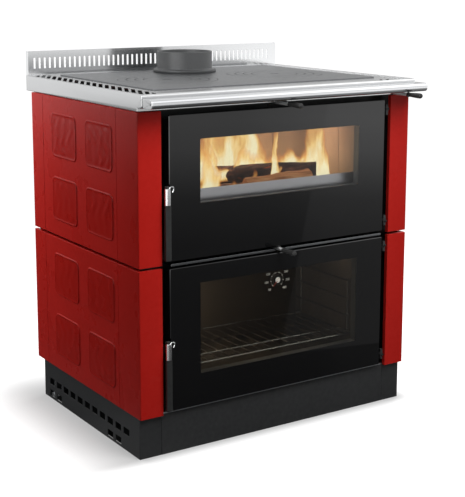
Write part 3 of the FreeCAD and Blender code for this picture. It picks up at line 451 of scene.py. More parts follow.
@dataclass(frozen=True)
class Steel(Finish):
    """Bare sheet or bar, brushed along one direction."""

    metallic: float = 1.0
    stretch: Triple = (0.6, 40.0, 40.0)
    sideways: Triple = (40.0, 0.6, 40.0)
    depth: float = 0.12
    mottled: float = 0.06
    streak: float = 0.035

    def dress(self, wires: Wires, shader: Node) -> None:
        """Adds brushed grain to the tone, the gloss and the relief."""
        mask = wires.group(Effects.grain(), Stretch=Vector(self.stretch),
                           Sideways=Vector(self.sideways), Scale=9.0, Coarse=0.25).outputs[0]
        base = wires.group(Effects.tone_drift(), Colour=linear(self.colour),
                           Amount=self.mottled, Scale=3.0).outputs[0]
        streak = wires.ramp(mask, (0.3, 1.0 - self.streak), (0.7, 1.0))
        wires.put(shader.inputs["Base Color"], wires.blend(1.0, base, streak, "MULTIPLY"))
        gloss = wires.ramp(mask, (0.35, self.roughness * 0.93), (0.65, self.roughness * 1.07))
        wires.put(shader.inputs["Roughness"], gloss)
        if self.depth:
            self.bump(wires, shader, mask, self.depth, 0.0002)


@dataclass(frozen=True)
class Iron(Finish):
    """Cast iron: ground, matt or rough, with pits and a soft cloudy tone."""

    scale: float = 240.0
    depth: float = 0.2
    ash: float = 0.0
    cloud: float = 0.25

    def dress(self, wires: Wires, shader: Node) -> None:
        """Adds cloudy tone, ash, uneven gloss and the skin of the casting."""
        skin = wires.group(Effects.grain(), Scale=self.scale, Coarse=0.35).outputs[0]
        base = wires.group(Effects.tone_drift(), Colour=linear(self.colour), Amount=self.cloud,
                           Scale=7.0).outputs[0]
        if self.ash:
            base = wires.group(Effects.dust(), Colour=base, Amount=self.ash).outputs[0]
        pits = wires.ramp(skin, (0.3, 0.82), (0.55, 1.0))
        wires.put(shader.inputs["Base Color"], wires.blend(1.0, base, pits, "MULTIPLY"))
        gloss = wires.ramp(skin, (0.3, min(1.0, self.roughness * 1.2)),
                           (0.7, self.roughness * 0.85))
        wires.put(shader.inputs["Roughness"], gloss)
        self.bump(wires, shader, skin, self.depth, 0.0006)


@dataclass(frozen=True)
class Paint(Finish):
    """Satin stove paint on steel, fine-textured and rubbed along its edges."""

    texture: float = 0.15
    wear: float = 0.3

    def dress(self, wires: Wires, shader: Node) -> None:
        """Adds a faint drift, rubbed edges, dust and a powder texture."""
        base = wires.group(Effects.tone_drift(), Colour=linear(self.colour), Amount=0.3,
                           Scale=6.0).outputs[0]
        edge_toned = wires.group(Effects.edge_wear_and_highlight(), Colour=base, Worn=linear("707070"),
                           Amount=self.wear).outputs["Colour"]
        dusty = wires.group(Effects.dust(), Colour=edge_toned, Amount=0.05).outputs[0]
        wires.put(shader.inputs["Base Color"], dusty)
        shader.inputs["Specular IOR Level"].default_value = 0.28
        powder = wires.spots(1.0, 900.0, 2.0)
        wires.put(shader.inputs["Roughness"],
                  wires.ramp(powder, (0.3, self.roughness * 0.85), (0.7, self.roughness * 1.15)))
        self.bump(wires, shader, powder, self.texture, 0.0003)


@dataclass(frozen=True)
class Glass(Finish):
    """Ceramic door glass, clear, that lets the light of the fire out."""

    roughness: float = 0.0
    tint: str = "F4F6F5"
    ior: float = 1.45

    def dress(self, wires: Wires, shader: Node) -> None:
        """Makes it transmit, and lets light through as if it were not there."""
        shader.inputs["Transmission Weight"].default_value = 1.0
        shader.inputs["IOR"].default_value = self.ior
        shader.inputs["Base Color"].default_value = linear(self.tint)
        smear = wires.ramp(wires.spots((1.0, 1.0, 0.4), 9.0, 4.0), (0.5, 0.0), (0.8, 0.015))
        wires.put(shader.inputs["Roughness"], smear)
        output = wires.tree.nodes["Material Output"]
        through = wires.node("BsdfTransparent", {"Color": linear(self.tint)})
        rays = wires.node("LightPath")
        soft = wires.math("MAXIMUM", rays.outputs["Is Glossy Ray"], wires.math(
            "MAXIMUM", rays.outputs["Is Shadow Ray"], rays.outputs["Is Diffuse Ray"]))
        mixed = wires.node("MixShader", {0: soft, 1: shader.outputs[0], 2: through.outputs[0]})
        wires.put(output.inputs["Surface"], mixed.outputs[0])


@dataclass(frozen=True)
class PrintedGlass(Finish):
    """Glass with a black print behind it: nearly black, as smooth as the clear pane."""

    roughness: float = 0.02

    def dress(self, wires: Wires, shader: Node) -> None:
        """Adds the faint cloud of the print and of wiped glass."""
        shader.inputs["IOR"].default_value = 1.48
        base = wires.group(Effects.tone_drift(), Colour=linear(self.colour), Amount=0.5,
                           Scale=4.0).outputs[0]
        wires.put(shader.inputs["Base Color"], base)
        smear = wires.ramp(wires.spots((1.0, 1.0, 0.4), 9.0, 4.0), (0.45, self.roughness),
                           (0.8, 0.07))
        wires.put(shader.inputs["Roughness"], smear)


@dataclass(frozen=True)
class Brick(Finish):
    """Pressed refractory board: sandy, pitted, and smoked a little by the fire."""

    roughness: float = 0.9

    def dress(self, wires: Wires, shader: Node) -> None:
        """Adds sand grain, smoke stains and pits."""
        base = wires.group(Effects.tone_drift(), Colour=linear(self.colour), Amount=0.5,
                           Scale=9.0).outputs[0]
        smoke = wires.ramp(wires.spots((1.0, 1.0, 0.5), 6.0, 5.0), (0.35, 0.62), (0.6, 1.0))
        sand = wires.spots(1.0, 320.0, 4.0)
        dots = wires.ramp(sand, (0.32, 0.75), (0.5, 1.0))
        wires.put(shader.inputs["Base Color"],
                  wires.blend(1.0, wires.blend(1.0, base, smoke, "MULTIPLY"), dots, "MULTIPLY"))
        self.bump(wires, shader, sand, 0.4, 0.001)


@dataclass(frozen=True)
class Rope(Finish):
    """Glass-fibre seal rope."""

    roughness: float = 0.85

    def dress(self, wires: Wires, shader: Node) -> None:
        """Adds fibres and soot."""
        base = wires.group(Effects.tone_drift(), Colour=linear(self.colour), Amount=0.5,
                           Scale=30.0).outputs[0]
        wires.put(shader.inputs["Base Color"], base)
        self.bump(wires, shader, wires.spots((1.0, 3.0, 1.0), 700.0), 0.5, 0.0006)


@dataclass(frozen=True)
class Print(Finish):
    """Pale ceramic print on glass, whose glow is painted light that stands in for light through
    the pane that it lies on.
    """

    roughness: float = 0.5
    glow: float = 0.0

    def dress(self, wires: Wires, shader: Node) -> None:
        """Adds a slightly broken tone, and a painted glow in the same tone."""
        base = wires.group(Effects.tone_drift(), Colour=linear(self.colour), Amount=0.3,
                           Scale=120.0).outputs[0]
        wires.put(shader.inputs["Base Color"], base)
        wires.put(shader.inputs["Emission Color"], base)
        shader.inputs["Emission Strength"].default_value = self.glow


@dataclass(frozen=True)
class Wood(Finish):
    """Burning firewood: charred bark over red-brown wood, glowing in its cracks."""

    roughness: float = 0.8
    glow: float = 1.0
    tones: tuple[str, str, str] = ("2A1A16", "5A3A30", "8A5E4A")
    charred: float = 0.62

    def dress(self, wires: Wires, shader: Node) -> None:
        """Adds grain along the log, char and glowing cracks."""
        fibres = wires.spots((1.0, 9.0, 9.0), 14.0, 6.0)
        char = wires.spots(1.0, 16.0, 4.0, (3.0, 1.0, 0.0))
        bark = wires.ramp(fibres, *zip((0.3, 0.52, 0.75), map(linear, self.tones)))
        burnt = wires.ramp(char, (self.charred - 0.22, 0.0), (self.charred, 1.0))
        wires.put(shader.inputs["Base Color"], wires.blend(burnt, bark, linear("1E1614")))
        cracks = wires.ramp(fibres, (0.28, 1.0), (0.36, 0.0))
        wires.put(shader.inputs["Emission Color"],
                  wires.blend(cracks, (0.0, 0.0, 0.0, 1.0), linear("FF6A1E")))
        shader.inputs["Emission Strength"].default_value = self.glow
        self.bump(wires, shader, fibres, 0.8, 0.004)


@dataclass(frozen=True)
class Flame(Finish):
    """A sheet of flame: bright tongues that thin out upwards and let the rest show through."""

    base: float = 0.585
    crest: tuple[Span, ...] = ((-250.0, 100.0), (250.0, 100.0))
    shift: float = 0.0
    power: float = 1.25
    density: float = 0.9

    def dress(self, wires: Wires, shader: Node) -> None:
        """Builds tongues as high as the crest says, bent and torn by noise."""
        where = wires.node("TexCoord").outputs["Object"]
        bend = wires.node("TexNoise", {
            "Vector": wires.node("Mapping", {
                "Vector": where, "Scale": (1.0, 1.0, 0.6),
                "Location": (self.shift, 0.0, 0.0)}).outputs[0],
            "Scale": 20.0, "Detail": 3.0}).outputs[1]
        pushed = wires.node("VectorMath", {
            0: bend, 1: (0.05, 0.0, 0.04)}, operation="MULTIPLY").outputs[0]
        bent = wires.node("VectorMath", {0: where, 1: pushed}, operation="ADD").outputs[0]
        bent = wires.node("VectorMath", {0: bent, 1: (0.025, 0.0, 0.02)},
                          operation="SUBTRACT").outputs[0]
        parts = wires.node("SeparateXYZ", {0: bent})
        across = wires.math("MULTIPLY_ADD", parts.outputs[0], 2.0, 0.5)
        high = wires.ramp(across, *(((x + 250.0) / 500.0, rise / 250.0) for x, rise in self.crest))
        up = wires.math("DIVIDE", wires.math("SUBTRACT", parts.outputs[2], self.base),
                        wires.math("MULTIPLY", high, 0.25))
        mapped = wires.node("Mapping", {
            "Vector": bent, "Scale": (1.0, 1.0, 0.22), "Location": (self.shift, 0.0, 0.0)})
        veins = wires.node("TexNoise", {
            "Vector": mapped.outputs[0], "Scale": 42.0, "Detail": 3.0}).outputs[0]
        full = wires.math("SUBTRACT", 1.0, up)
        full = wires.math("ADD", full, wires.math("MULTIPLY", wires.math(
            "SUBTRACT", veins, 0.52), 1.3))
        root = wires.node("MapRange", {
            "Value": wires.node("SeparateXYZ", {0: where}).outputs[2],
            "From Min": self.base - 0.016, "From Max": self.base + 0.012}).outputs[0]
        body = wires.math("MULTIPLY", full, root)
        hue = wires.ramp(body, (0.0, linear("D8692A")), (0.14, linear("F09A4A")),
                         (0.4, linear("F9C97C")), (0.72, linear("FFEFC6")))
        wires.put(shader.inputs["Emission Color"], hue)
        wires.put(shader.inputs["Base Color"], (0.0, 0.0, 0.0, 1.0))
        shader.inputs["Specular IOR Level"].default_value = 0.0
        shader.inputs["Emission Strength"].default_value = self.power
        alpha = wires.node("MapRange", {
            "Value": body, "From Min": 0.0, "From Max": 0.45, "To Max": self.density}).outputs[0]
        wires.put(shader.inputs["Alpha"], alpha)


class Finishes:
    """Every finish on the cooker, by the name of what wears it."""

    RED = Enamel("red_enamel_gloss", "B01B14", 0.3, coat=0.05)
    RED_TILE = Enamel("red_enamel_tile", "AC1B14", 0.28, peel=0.08, drift=0.2, coat=0.05)
    BLACK = Paint("satin_stove_black", "202121", 0.42)
    # A near-black darker than the stove black: the brackets' own black with painted shade, also on
    # screw heads and the window pane's edges.
    BLACK_WITH_PAINTED_SHADE = Paint("bracket_black_painted_shade", "0B0B0B", 0.6, texture=0.1, wear=0.0)
    PLINTH = Paint("plinth_satin_black", "262728", 0.46, wear=0.2)
    KNOB = Paint("knob_black", "0E0E0F", 0.2, texture=0.05, wear=0.0)
    STAINLESS = Steel("stainless_brushed", "D0D1D2", 0.2, depth=0.01)
    RAIL = Steel("stainless_rail", "CDCED0", 0.12, depth=0.0, streak=0.02)
    SPLASH = Steel("stainless_splashback", "DEDFE0", 0.16, depth=0.0, streak=0.02)
    STAINLESS_UP = Steel("stainless_handle", "D4D5D6", 0.24, stretch=(40.0, 40.0, 0.6),
                         sideways=(40.0, 40.0, 0.6), depth=0.01)
    TRIM = Steel("stainless_trim", "7C7E80", 0.25, depth=0.0)
    GALVANISED = Steel("galvanised_sheet", "A9ACAE", 0.42, stretch=(2.0, 2.0, 2.0),
                       sideways=(2.0, 2.0, 2.0), mottled=0.5)
    GUARD = Steel("guard_sheet", "CCC0C8", 0.3, depth=0.0, streak=0.02)
    ROD = Steel("zinc_rod", "E6E7E7", 0.35, metallic=0.1, stretch=(40.0, 0.6, 40.0))
    HOB = Iron("hob_ground_iron", "77787A", 0.36, metallic=0.9, scale=500.0, depth=0.03, cloud=0.1)
    RING = Iron("ring_ground_iron", "747577", 0.36, metallic=0.9, scale=500.0, depth=0.03,
                cloud=0.1)
    COLLAR = Iron("collar_cast_black", "3E3F40", 0.42, scale=320.0, depth=0.18)
    GRATE = Iron("grate_rough_iron", "46433F", 0.75, scale=180.0, depth=0.5, ash=0.7)
    FLUE_BOX = Iron("fire_box_sheet", "3A3A3B", 0.6, scale=160.0, depth=0.2, ash=0.35)
    BORDER = PrintedGlass("door_glass_printed", "0D0D0E")
    GLASS = Glass("door_glass_clear")
    SMOKED = Glass("oven_glass_smoked", tint="D8D6D2")
    INNER = Glass("inner_glass_clear", ior=1.1)
    HUB = Paint("thermometer_black", "141414", 0.3, wear=0.0)
    # The thermometer cap's white glows: painted light.
    WHITE = Print("print_white", "F2F2EE", glow=0.75)
    BRICK = Brick("firebrick_board", "C6A488")
    OVEN = Enamel("oven_enamel_dark", "231F1B", 0.5, drift=0.5, peel=0.3, coat=0.0)
    CHROME = Steel("wire_chrome", "E8E8E6", 0.3, metallic=0.1, stretch=(1.0, 1.0, 1.0),
                   sideways=(1.0, 1.0, 1.0), depth=0.0)
    SEAL = Rope("seal_rope_grey", "8A857B")
    # The dots and numbers glow: painted light.
    DIAL = Print("dial_white", "EAEAE6", glow=0.5)
    NEEDLE = Print("needle_red", "B01C14")
    SOOT = Iron("damper_sooty_iron", "2C2A28", 0.8, scale=180.0, depth=0.4, ash=0.3)


def plain(piece: Object) -> Object:
    """Turns a piece with live modifiers or curves into a plain mesh piece.

    Args:
        piece: the object to evaluate.

    Returns:
        The mesh object that stands in its place, under the same name.
    """
    graph = bpy.context.evaluated_depsgraph_get()
    graph.update()
    mesh = bpy.data.meshes.new_from_object(piece.evaluated_get(graph), depsgraph=graph)
    name = piece.name
    if piece.type == "MESH":
        piece.modifiers.clear()
        old, piece.data = piece.data, mesh
        bpy.data.meshes.remove(old)
        mesh.name = name
        return piece
    bpy.data.objects.remove(piece)
    return to_object(name, mesh)


def to_object(name: str, data: bpy.types.ID) -> Object:
    """Makes an object at the origin for some data, and links it to the scene.

    Args:
        name: the object's name.
        data: its mesh, curve or other data.

    Returns:
        The object.
    """
    data.name = name
    piece = bpy.data.objects.new(name, data)
    bpy.context.scene.collection.objects.link(piece)
    return piece


def shape(name: str, bm: BMesh, finish: Finish | None, smooth: float = 35.0,
          turn_out: bool = False) -> Object:
    """Turns mesh code's result into an object with its finish.

    Args:
        name: the object's name.
        bm: the mesh in metres, freed here.
        finish: the finish, or None where the mesh brings its own.
        smooth: the angle in degrees past which an edge stays sharp.
        turn_out: whether the faces are turned to point outwards.

    Returns:
        The object.
    """
    if turn_out:
        bmesh.ops.remove_doubles(bm, verts=bm.verts, dist=1e-6)
        bmesh.ops.recalc_face_normals(bm, faces=bm.faces)
    mesh = bpy.data.meshes.new(name)
    bm.to_mesh(mesh)
    bm.free()
    mesh.shade_smooth()
    mesh.set_sharp_from_angle(angle=math.radians(smooth))
    piece = to_object(name, mesh)
    if finish:
        mesh.materials.append(finish.material())
    return piece


def fit(piece: Object, group: Group, slot: Slot, *nodes: str) -> Object:
    """Rides a finished piece on its body and hides the CAD nodes that it stands for.

    Args:
        piece: the piece.
        group: the body that it moves with.
        slot: the record's slot that its finish is from; not used.
        nodes: the CAD nodes that it replaces.

    Returns:
        The piece.
    """
    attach(piece, group.value)
    if nodes:
        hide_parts(*nodes)
    LOG.info("%s on %s, %d faces", piece.name, group.value, len(piece.data.polygons))
    return piece


def merged(node: str) -> BMesh:
    """Copies a CAD node's mesh with its doubles merged.

    Args:
        node: the CAD node's name.

    Returns:
        The copy, for mesh code.
    """
    bm = bmesh.new()
    bm.from_mesh(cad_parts[node].data)
    bmesh.ops.remove_doubles(bm, verts=bm.verts, dist=2e-6)
    return bm


def softened(node: str, group: Group, slot: Slot, finish: Finish, width: float = 0.8,
             steps: int = 2, change: Callable[[BMesh], None] | None = None,
             name: str = "") -> Object:
    """Stands a copy of a CAD node in its place, with its sharp edges rounded.

    Args:
        node: the CAD node's name.
        group: the body that it moves with.
        slot: the record's slot.
        finish: the finish.
        width: the rounding's width in millimetres.
        steps: the rounding's segments.
        change: mesh code that runs before the rounding.
        name: the piece's name, or nothing for the node's name with _soft.

    Returns:
        The piece.
    """
    bm = merged(node)
    if change:
        change(bm)
    piece = shape(name or f"{node}_soft", bm, finish)
    bevel = piece.modifiers.new("rounding", "BEVEL")
    bevel.width = width * MM
    bevel.segments = steps
    bevel.limit_method = "ANGLE"
    bevel.angle_limit = math.radians(38)
    bevel.use_clamp_overlap = False
    weighted = piece.modifiers.new("flat_faces_lead", "WEIGHTED_NORMAL")
    weighted.keep_sharp = True
    weighted.weight = 100
    return fit(plain(piece), group, slot, node)


def refinish(finish: Finish, *nodes: str) -> None:
    """Gives CAD nodes whose shape is right a better material.

    Args:
        finish: the finish.
        nodes: the CAD nodes' names.
    """
    for node in nodes:
        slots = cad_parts[node].data.materials
        slots.clear()
        slots.append(finish.material())
        LOG.info("%s keeps its CAD shape", node)


def block(bm: BMesh, low: Vector, high: Vector, rounding: float = 0.0) -> None:
    """Adds a block between two corners, with its edges rounded.

    Args:
        bm: the mesh that it goes into.
        low: its lowest corner.
        high: its highest corner.
        rounding: the rounding in metres.
    """
    made = bmesh.ops.create_cube(bm, size=1.0)["verts"]
    size = high - low
    for vert in made:
        vert.co = Vector((low[i] + (vert.co[i] + 0.5) * size[i] for i in range(3)))
    if rounding:
        edges = list({edge for vert in made for edge in vert.link_edges})
        bmesh.ops.bevel(bm, geom=edges, offset=rounding, segments=2, affect="EDGES",
                        clamp_overlap=True, profile=0.5)


def turned(bm: BMesh, profile: Sequence[Span], centre: Vector, axis: str = "z",
           steps: int = 48) -> None:
    """Adds a turned form: a profile spun round an axis, closed at its poles.

    Args:
        bm: the mesh that it goes into.
        profile: radius and distance along the axis, in millimetres, from end to end.
        centre: the point where the axis distance is nought.
        axis: x, y or z.
        steps: the number of segments round.
    """
    turn = {"x": Matrix.Rotation(math.pi / 2, 3, "Y"), "y": Matrix.Rotation(-math.pi / 2, 3, "X"),
            "z": Matrix.Identity(3)}[axis]
    rings: list[list[BMVert]] = []
    for radius, along in profile:
        count = steps if radius > 1e-4 else 1
        ring = []
        for step in range(count):
            angle = math.tau * step / steps
            point = Vector((radius * math.cos(angle), radius * math.sin(angle), along)) * MM
            ring.append(bm.verts.new(centre + turn @ point))
        rings.append(ring)
    for first, second in zip(rings, rings[1:]):
        for step in range(steps):
            corners = [first[step % len(first)], first[(step + 1) % len(first)],
                       second[(step + 1) % len(second)], second[step % len(second)]]
            distinct = list(dict.fromkeys(corners))
            if len(distinct) > 2:
                bm.faces.new(distinct)


def tube(name: str, points: Iterable[Vector], radius: float, finish: Finish,
         cyclic: bool = False, sides: int = 8, smooth: bool = False) -> Object:
    """Makes a round bar or wire along points.

    Args:
        name: the object's name.
        points: its points in metres.
        radius: its radius in millimetres.
        finish: its finish.
        cyclic: whether it closes on itself.
        sides: the faces round it, a multiple of four.
        smooth: whether it runs smoothly near the points rather than straight through them.

    Returns:
        The tube as a mesh piece.
    """
    curve = bpy.data.curves.new(name, "CURVE")
    curve.dimensions = "3D"
    curve.bevel_depth = radius * MM
    curve.bevel_resolution = max(0, sides // 4 - 1)
    curve.use_fill_caps = not cyclic
    route = list(points)
    spline = curve.splines.new("NURBS" if smooth else "POLY")
    spline.points.add(len(route) - 1)
    for point, where in zip(spline.points, route):
        point.co = (*where, 1.0)
    if smooth:
        spline.order_u = 3
        spline.use_endpoint_u = not cyclic
    spline.use_cyclic_u = cyclic
    curve.materials.append(finish.material())
    piece = plain(to_object(name, curve))
    piece.data.shade_smooth()
    piece.data.set_sharp_from_angle(angle=math.radians(40))
    return piece


class Repeats:
    """Geometry Nodes trees for what repeats or follows a path."""

    @classmethod
    def start(cls, name: str, inputs: dict[str, tuple[str, object]]) -> tuple[
            NodeTree, Wires, Node, Node]:
        """Makes an empty tree with named inputs.

        Args:
            name: the tree's name.
            inputs: each input's socket type and default.

        Returns:
            The tree, its wires, and its input and output nodes.
        """
        tree = bpy.data.node_groups.new(name, "GeometryNodeTree")
        tree.interface.new_socket("Geometry", in_out="INPUT", socket_type="NodeSocketGeometry")
        for key, (kind, value) in inputs.items():
            socket = tree.interface.new_socket(key, in_out="INPUT", socket_type=kind)
            if value is not None:
                socket.default_value = value
        tree.interface.new_socket("Geometry", in_out="OUTPUT", socket_type="NodeSocketGeometry")
        wires = Wires(tree)
        return tree, wires, wires.node("NodeGroupInput"), wires.node("NodeGroupOutput")

    @classmethod
    def finish(cls, wires: Wires, geometry: NodeSocket, start: Node, end: Node) -> None:
        """Ends a tree in real, shaded geometry with its material.

        Args:
            wires: the tree's wires.
            geometry: what it made.
            start: its input node.
            end: its output node.
        """
        real = wires.node("GeometryNodeRealizeInstances", {0: geometry}).outputs[0]
        clean = wires.node("GeometryNodeMergeByDistance",
                           {"Geometry": real, "Distance": 1e-6}).outputs[0]
        made = wires.node("GeometryNodeSetMaterial", {
            "Geometry": clean, "Material": start.outputs["Material"]}).outputs[0]
        wires.put(end.inputs[0], made)

    @classmethod
    @cache
    def screws(cls) -> NodeTree:
        """Gives the tree that sets a round-headed screw at every point of a point mesh."""
        tree, wires, start, end = cls.start("screw_heads", {
            "Radius": ("NodeSocketFloat", 0.004), "Height": ("NodeSocketFloat", 0.002),
            "Turn": ("NodeSocketVector", (0.0, 0.0, 0.0)), "Seed": ("NodeSocketInt", SEED),
            "Material": ("NodeSocketMaterial", None)})
        radius, height = start.outputs["Radius"], start.outputs["Height"]
        washer = wires.node("GeometryNodeMeshCylinder", {
            "Vertices": 20, "Radius": radius, "Depth": wires.math("MULTIPLY", height, 0.6)})
        neck = wires.math("MULTIPLY", radius, 0.78)
        head = wires.node("GeometryNodeMeshCone", {
            "Vertices": 20, "Radius Bottom": neck, "Radius Top": wires.math(
                "MULTIPLY", radius, 0.5), "Depth": wires.math("MULTIPLY", height, 0.5)})
        lifted = wires.node("GeometryNodeTransform", {
            "Geometry": head.outputs[0], "Translation": wires.node(
                "CombineXYZ", {2: wires.math("MULTIPLY", height, 0.3)}).outputs[0]})
        slot_size = wires.node("CombineXYZ", {
            0: radius, 1: wires.math("MULTIPLY", radius, 0.2), 2: height}).outputs[0]
        driver = wires.node("GeometryNodeMeshCube", {"Size": slot_size})
        raised = wires.node("GeometryNodeTransform", {
            "Geometry": driver.outputs[0], "Translation": wires.node(
                "CombineXYZ", {2: height}).outputs[0]})
        cut = wires.node("GeometryNodeMeshBoolean", {
            0: lifted.outputs[0], 1: raised.outputs[0]}, operation="DIFFERENCE")
        whole = wires.node("GeometryNodeJoinGeometry")
        wires.put(whole.inputs[0], washer.outputs[0])
        wires.put(whole.inputs[0], cut.outputs[0])
        turn = wires.node("FunctionNodeRandomValue", {
            2: 0.0, 3: math.tau, "Seed": start.outputs["Seed"]}, data_type="FLOAT")
        spin = wires.node("CombineXYZ", {2: turn.outputs[1]}).outputs[0]
        placed = wires.node("GeometryNodeInstanceOnPoints", {
            "Points": start.outputs["Geometry"], "Instance": whole.outputs[0],
            "Rotation": start.outputs["Turn"]})
        spun = wires.node("GeometryNodeRotateInstances", {
            "Instances": placed.outputs[0], "Rotation": spin}).outputs[0]
        cls.finish(wires, spun, start, end)
        return tree

    @classmethod
    @cache
    def braid(cls) -> NodeTree:
        """Gives the tree that twists strands along a closed path into a rope."""
        tree, wires, start, end = cls.start("rope_braid", {
            "Radius": ("NodeSocketFloat", 0.006), "Strand": ("NodeSocketFloat", 0.003),
            "Twists": ("NodeSocketFloat", 60.0), "Squash": ("NodeSocketFloat", 1.0),
            "Material": ("NodeSocketMaterial", None)})
        line = wires.node("GeometryNodeMeshToCurve", {0: start.outputs["Geometry"]})
        fine = wires.node("GeometryNodeResampleCurve", {"Curve": line.outputs[0], "Count": 520})
        share = wires.node("GeometryNodeSplineParameter").outputs["Factor"]
        turn = wires.math("MULTIPLY", wires.math("MULTIPLY", share, start.outputs["Twists"]),
                          math.tau)
        tangent = wires.node("GeometryNodeInputTangent").outputs[0]
        depth = Vector((0.0, 1.0, 0.0))
        side = wires.node("VectorMath", {0: tangent, 1: depth},
                          operation="CROSS_PRODUCT").outputs[0]
        ring = wires.node("GeometryNodeCurvePrimitiveCircle", {
            "Resolution": 6, "Radius": start.outputs["Strand"]})
        whole = wires.node("GeometryNodeJoinGeometry")
        for strand in range(3):
            angle = wires.math("ADD", turn, math.tau * strand / 3)
            across = wires.math("MULTIPLY", wires.math("COSINE", angle), start.outputs["Radius"])
            deep = wires.math("MULTIPLY", wires.math(
                "MULTIPLY", wires.math("SINE", angle), start.outputs["Radius"]),
                start.outputs["Squash"])
            sideways = wires.node("VectorMath", {0: side, "Scale": across},
                                  operation="SCALE").outputs[0]
            inward = wires.node("VectorMath", {0: depth, "Scale": deep},
                                operation="SCALE").outputs[0]
            offset = wires.node("VectorMath", {0: sideways, 1: inward}, operation="ADD").outputs[0]
            moved = wires.node("GeometryNodeSetPosition", {
                "Geometry": fine.outputs[0], "Offset": offset})
            solid = wires.node("GeometryNodeCurveToMesh", {
                "Curve": moved.outputs[0], "Profile Curve": ring.outputs[0]})
            wires.put(whole.inputs[0], solid.outputs[0])
        smooth = wires.node("GeometryNodeSetShadeSmooth", {0: whole.outputs[0]}).outputs[0]
        cls.finish(wires, smooth, start, end)
        return tree

    @classmethod
    def apply(cls, name: str, tree: NodeTree, points: Sequence[Vector], finish: Finish,
              loop: bool = False, **inputs: object) -> Object:
        """Runs a tree on a few points and keeps its result as a plain mesh.

        Args:
            name: the piece's name.
            tree: the tree.
            points: the points in metres that it starts from.
            finish: the finish.
            loop: whether the points form a closed line.
            inputs: the tree's inputs by name.

        Returns:
            The piece.
        """
        bm = bmesh.new()
        verts = [bm.verts.new(point) for point in points]
        if loop:
            for first, second in zip(verts, verts[1:] + verts[:1]):
                bm.edges.new((first, second))
        mesh = bpy.data.meshes.new(name)
        bm.to_mesh(mesh)
        bm.free()
        piece = to_object(name, mesh)
        modifier = piece.modifiers.new("repeats", "NODES")
        modifier.node_group = tree
        values = {**inputs, "Material": finish.material()}
        for item in tree.interface.items_tree:
            if item.item_type == "SOCKET" and item.in_out == "INPUT" and item.name in values:
                modifier[item.identifier] = values[item.name]
        return plain(piece)


def rounded_loop(x: Span, z: Span, radius: float, steps: int = 4) -> list[tuple[float, float]]:
    """Gives a rectangle's outline with rounded corners, always with the same number of points.

    Args:
        x: its left and right sides.
        z: its bottom and top.
        radius: the corners' radius.
        steps: the points in each corner's arc.

    Returns:
        The points, anticlockwise as seen from the front.
    """
    corners = ((x[1] - radius, z[0] + radius, -90), (x[1] - radius, z[1] - radius, 0),
               (x[0] + radius, z[1] - radius, 90), (x[0] + radius, z[0] + radius, 180))
    points = []
    for cx, cz, first in corners:
        for step in range(steps + 1):
            angle = math.radians(first + 90 * step / steps)
            points.append((cx + radius * math.cos(angle), cz + radius * math.sin(angle)))
    return points


def bridged(bm: BMesh, first: Sequence[BMVert], second: Sequence[BMVert]) -> None:
    """Joins two closed rings of as many points by a strip of faces.

    Args:
        bm: the mesh that it goes into.
        first: one ring.
        second: the other ring.
    """
    count = len(first)
    for step in range(count):
        after = (step + 1) % count
        bm.faces.new((first[step], first[after], second[after], second[step]))


def lofted(bm: BMesh, loops: Sequence[tuple[float, list[tuple[float, float]]]],
           closed: bool = False) -> None:
    """Adds a skin through outlines that stand one behind the other.

    Args:
        bm: the mesh that it goes into.
        loops: each outline's distance behind the front face, and its points.
        closed: whether the last outline joins the first, as in a frame, or each end is capped.
    """
    rings = [[bm.verts.new(place(x, y, z)) for x, z in points] for y, points in loops]
    pairs = list(zip(rings, rings[1:])) + ([(rings[-1], rings[0])] if closed else [])
    for first, second in pairs:
        bridged(bm, first, second)
    if not closed:
        bm.faces.new(rings[0])
        bm.faces.new(list(reversed(rings[-1])))


@dataclass
class Photographer:
    """The camera, where the photograph's perspective puts it."""

    focal: float = 1172.0
    yaw: float = 32.77
    pitch: float = 9.70
    station: Triple = (-1641.6, -2269.7, 1111.5)
    shift: Span = (0.0252, -0.14)
    picture_height: float = 497.0

    def build(self) -> Object:
        """Makes the camera and looks through it.

        Returns:
            The camera.
        """
        data = bpy.data.cameras.new("photo_camera")
        data.sensor_width = 36.0
        data.lens = self.focal / self.picture_height * 36.0
        data.shift_x, data.shift_y = self.shift
        data.clip_start, data.clip_end = 0.05, 200.0
        camera = to_object("photo_camera", data)
        camera.location = place(*self.station)
        camera.rotation_euler = (math.radians(90 - self.pitch), 0.0, -math.radians(self.yaw))
        bpy.context.scene.camera = camera
        return camera

    def ray(self, across: float, down: float) -> tuple[Vector, Vector]:
        """Gives the line of sight through a place in the picture.

        Args:
            across: pixels from the picture's left edge.
            down: pixels from its top edge.

        Returns:
            The camera's place and the direction, in scene metres.
        """
        x = across - 232.5 + self.shift[0] * self.picture_height
        y = self.picture_height / 2 - down + self.shift[1] * self.picture_height
        turn = Matrix.Rotation(-math.radians(self.yaw), 3, "Z") @ Matrix.Rotation(
            math.radians(90 - self.pitch), 3, "X")
        return place(*self.station), (turn @ Vector((x, y, -self.focal))).normalized()


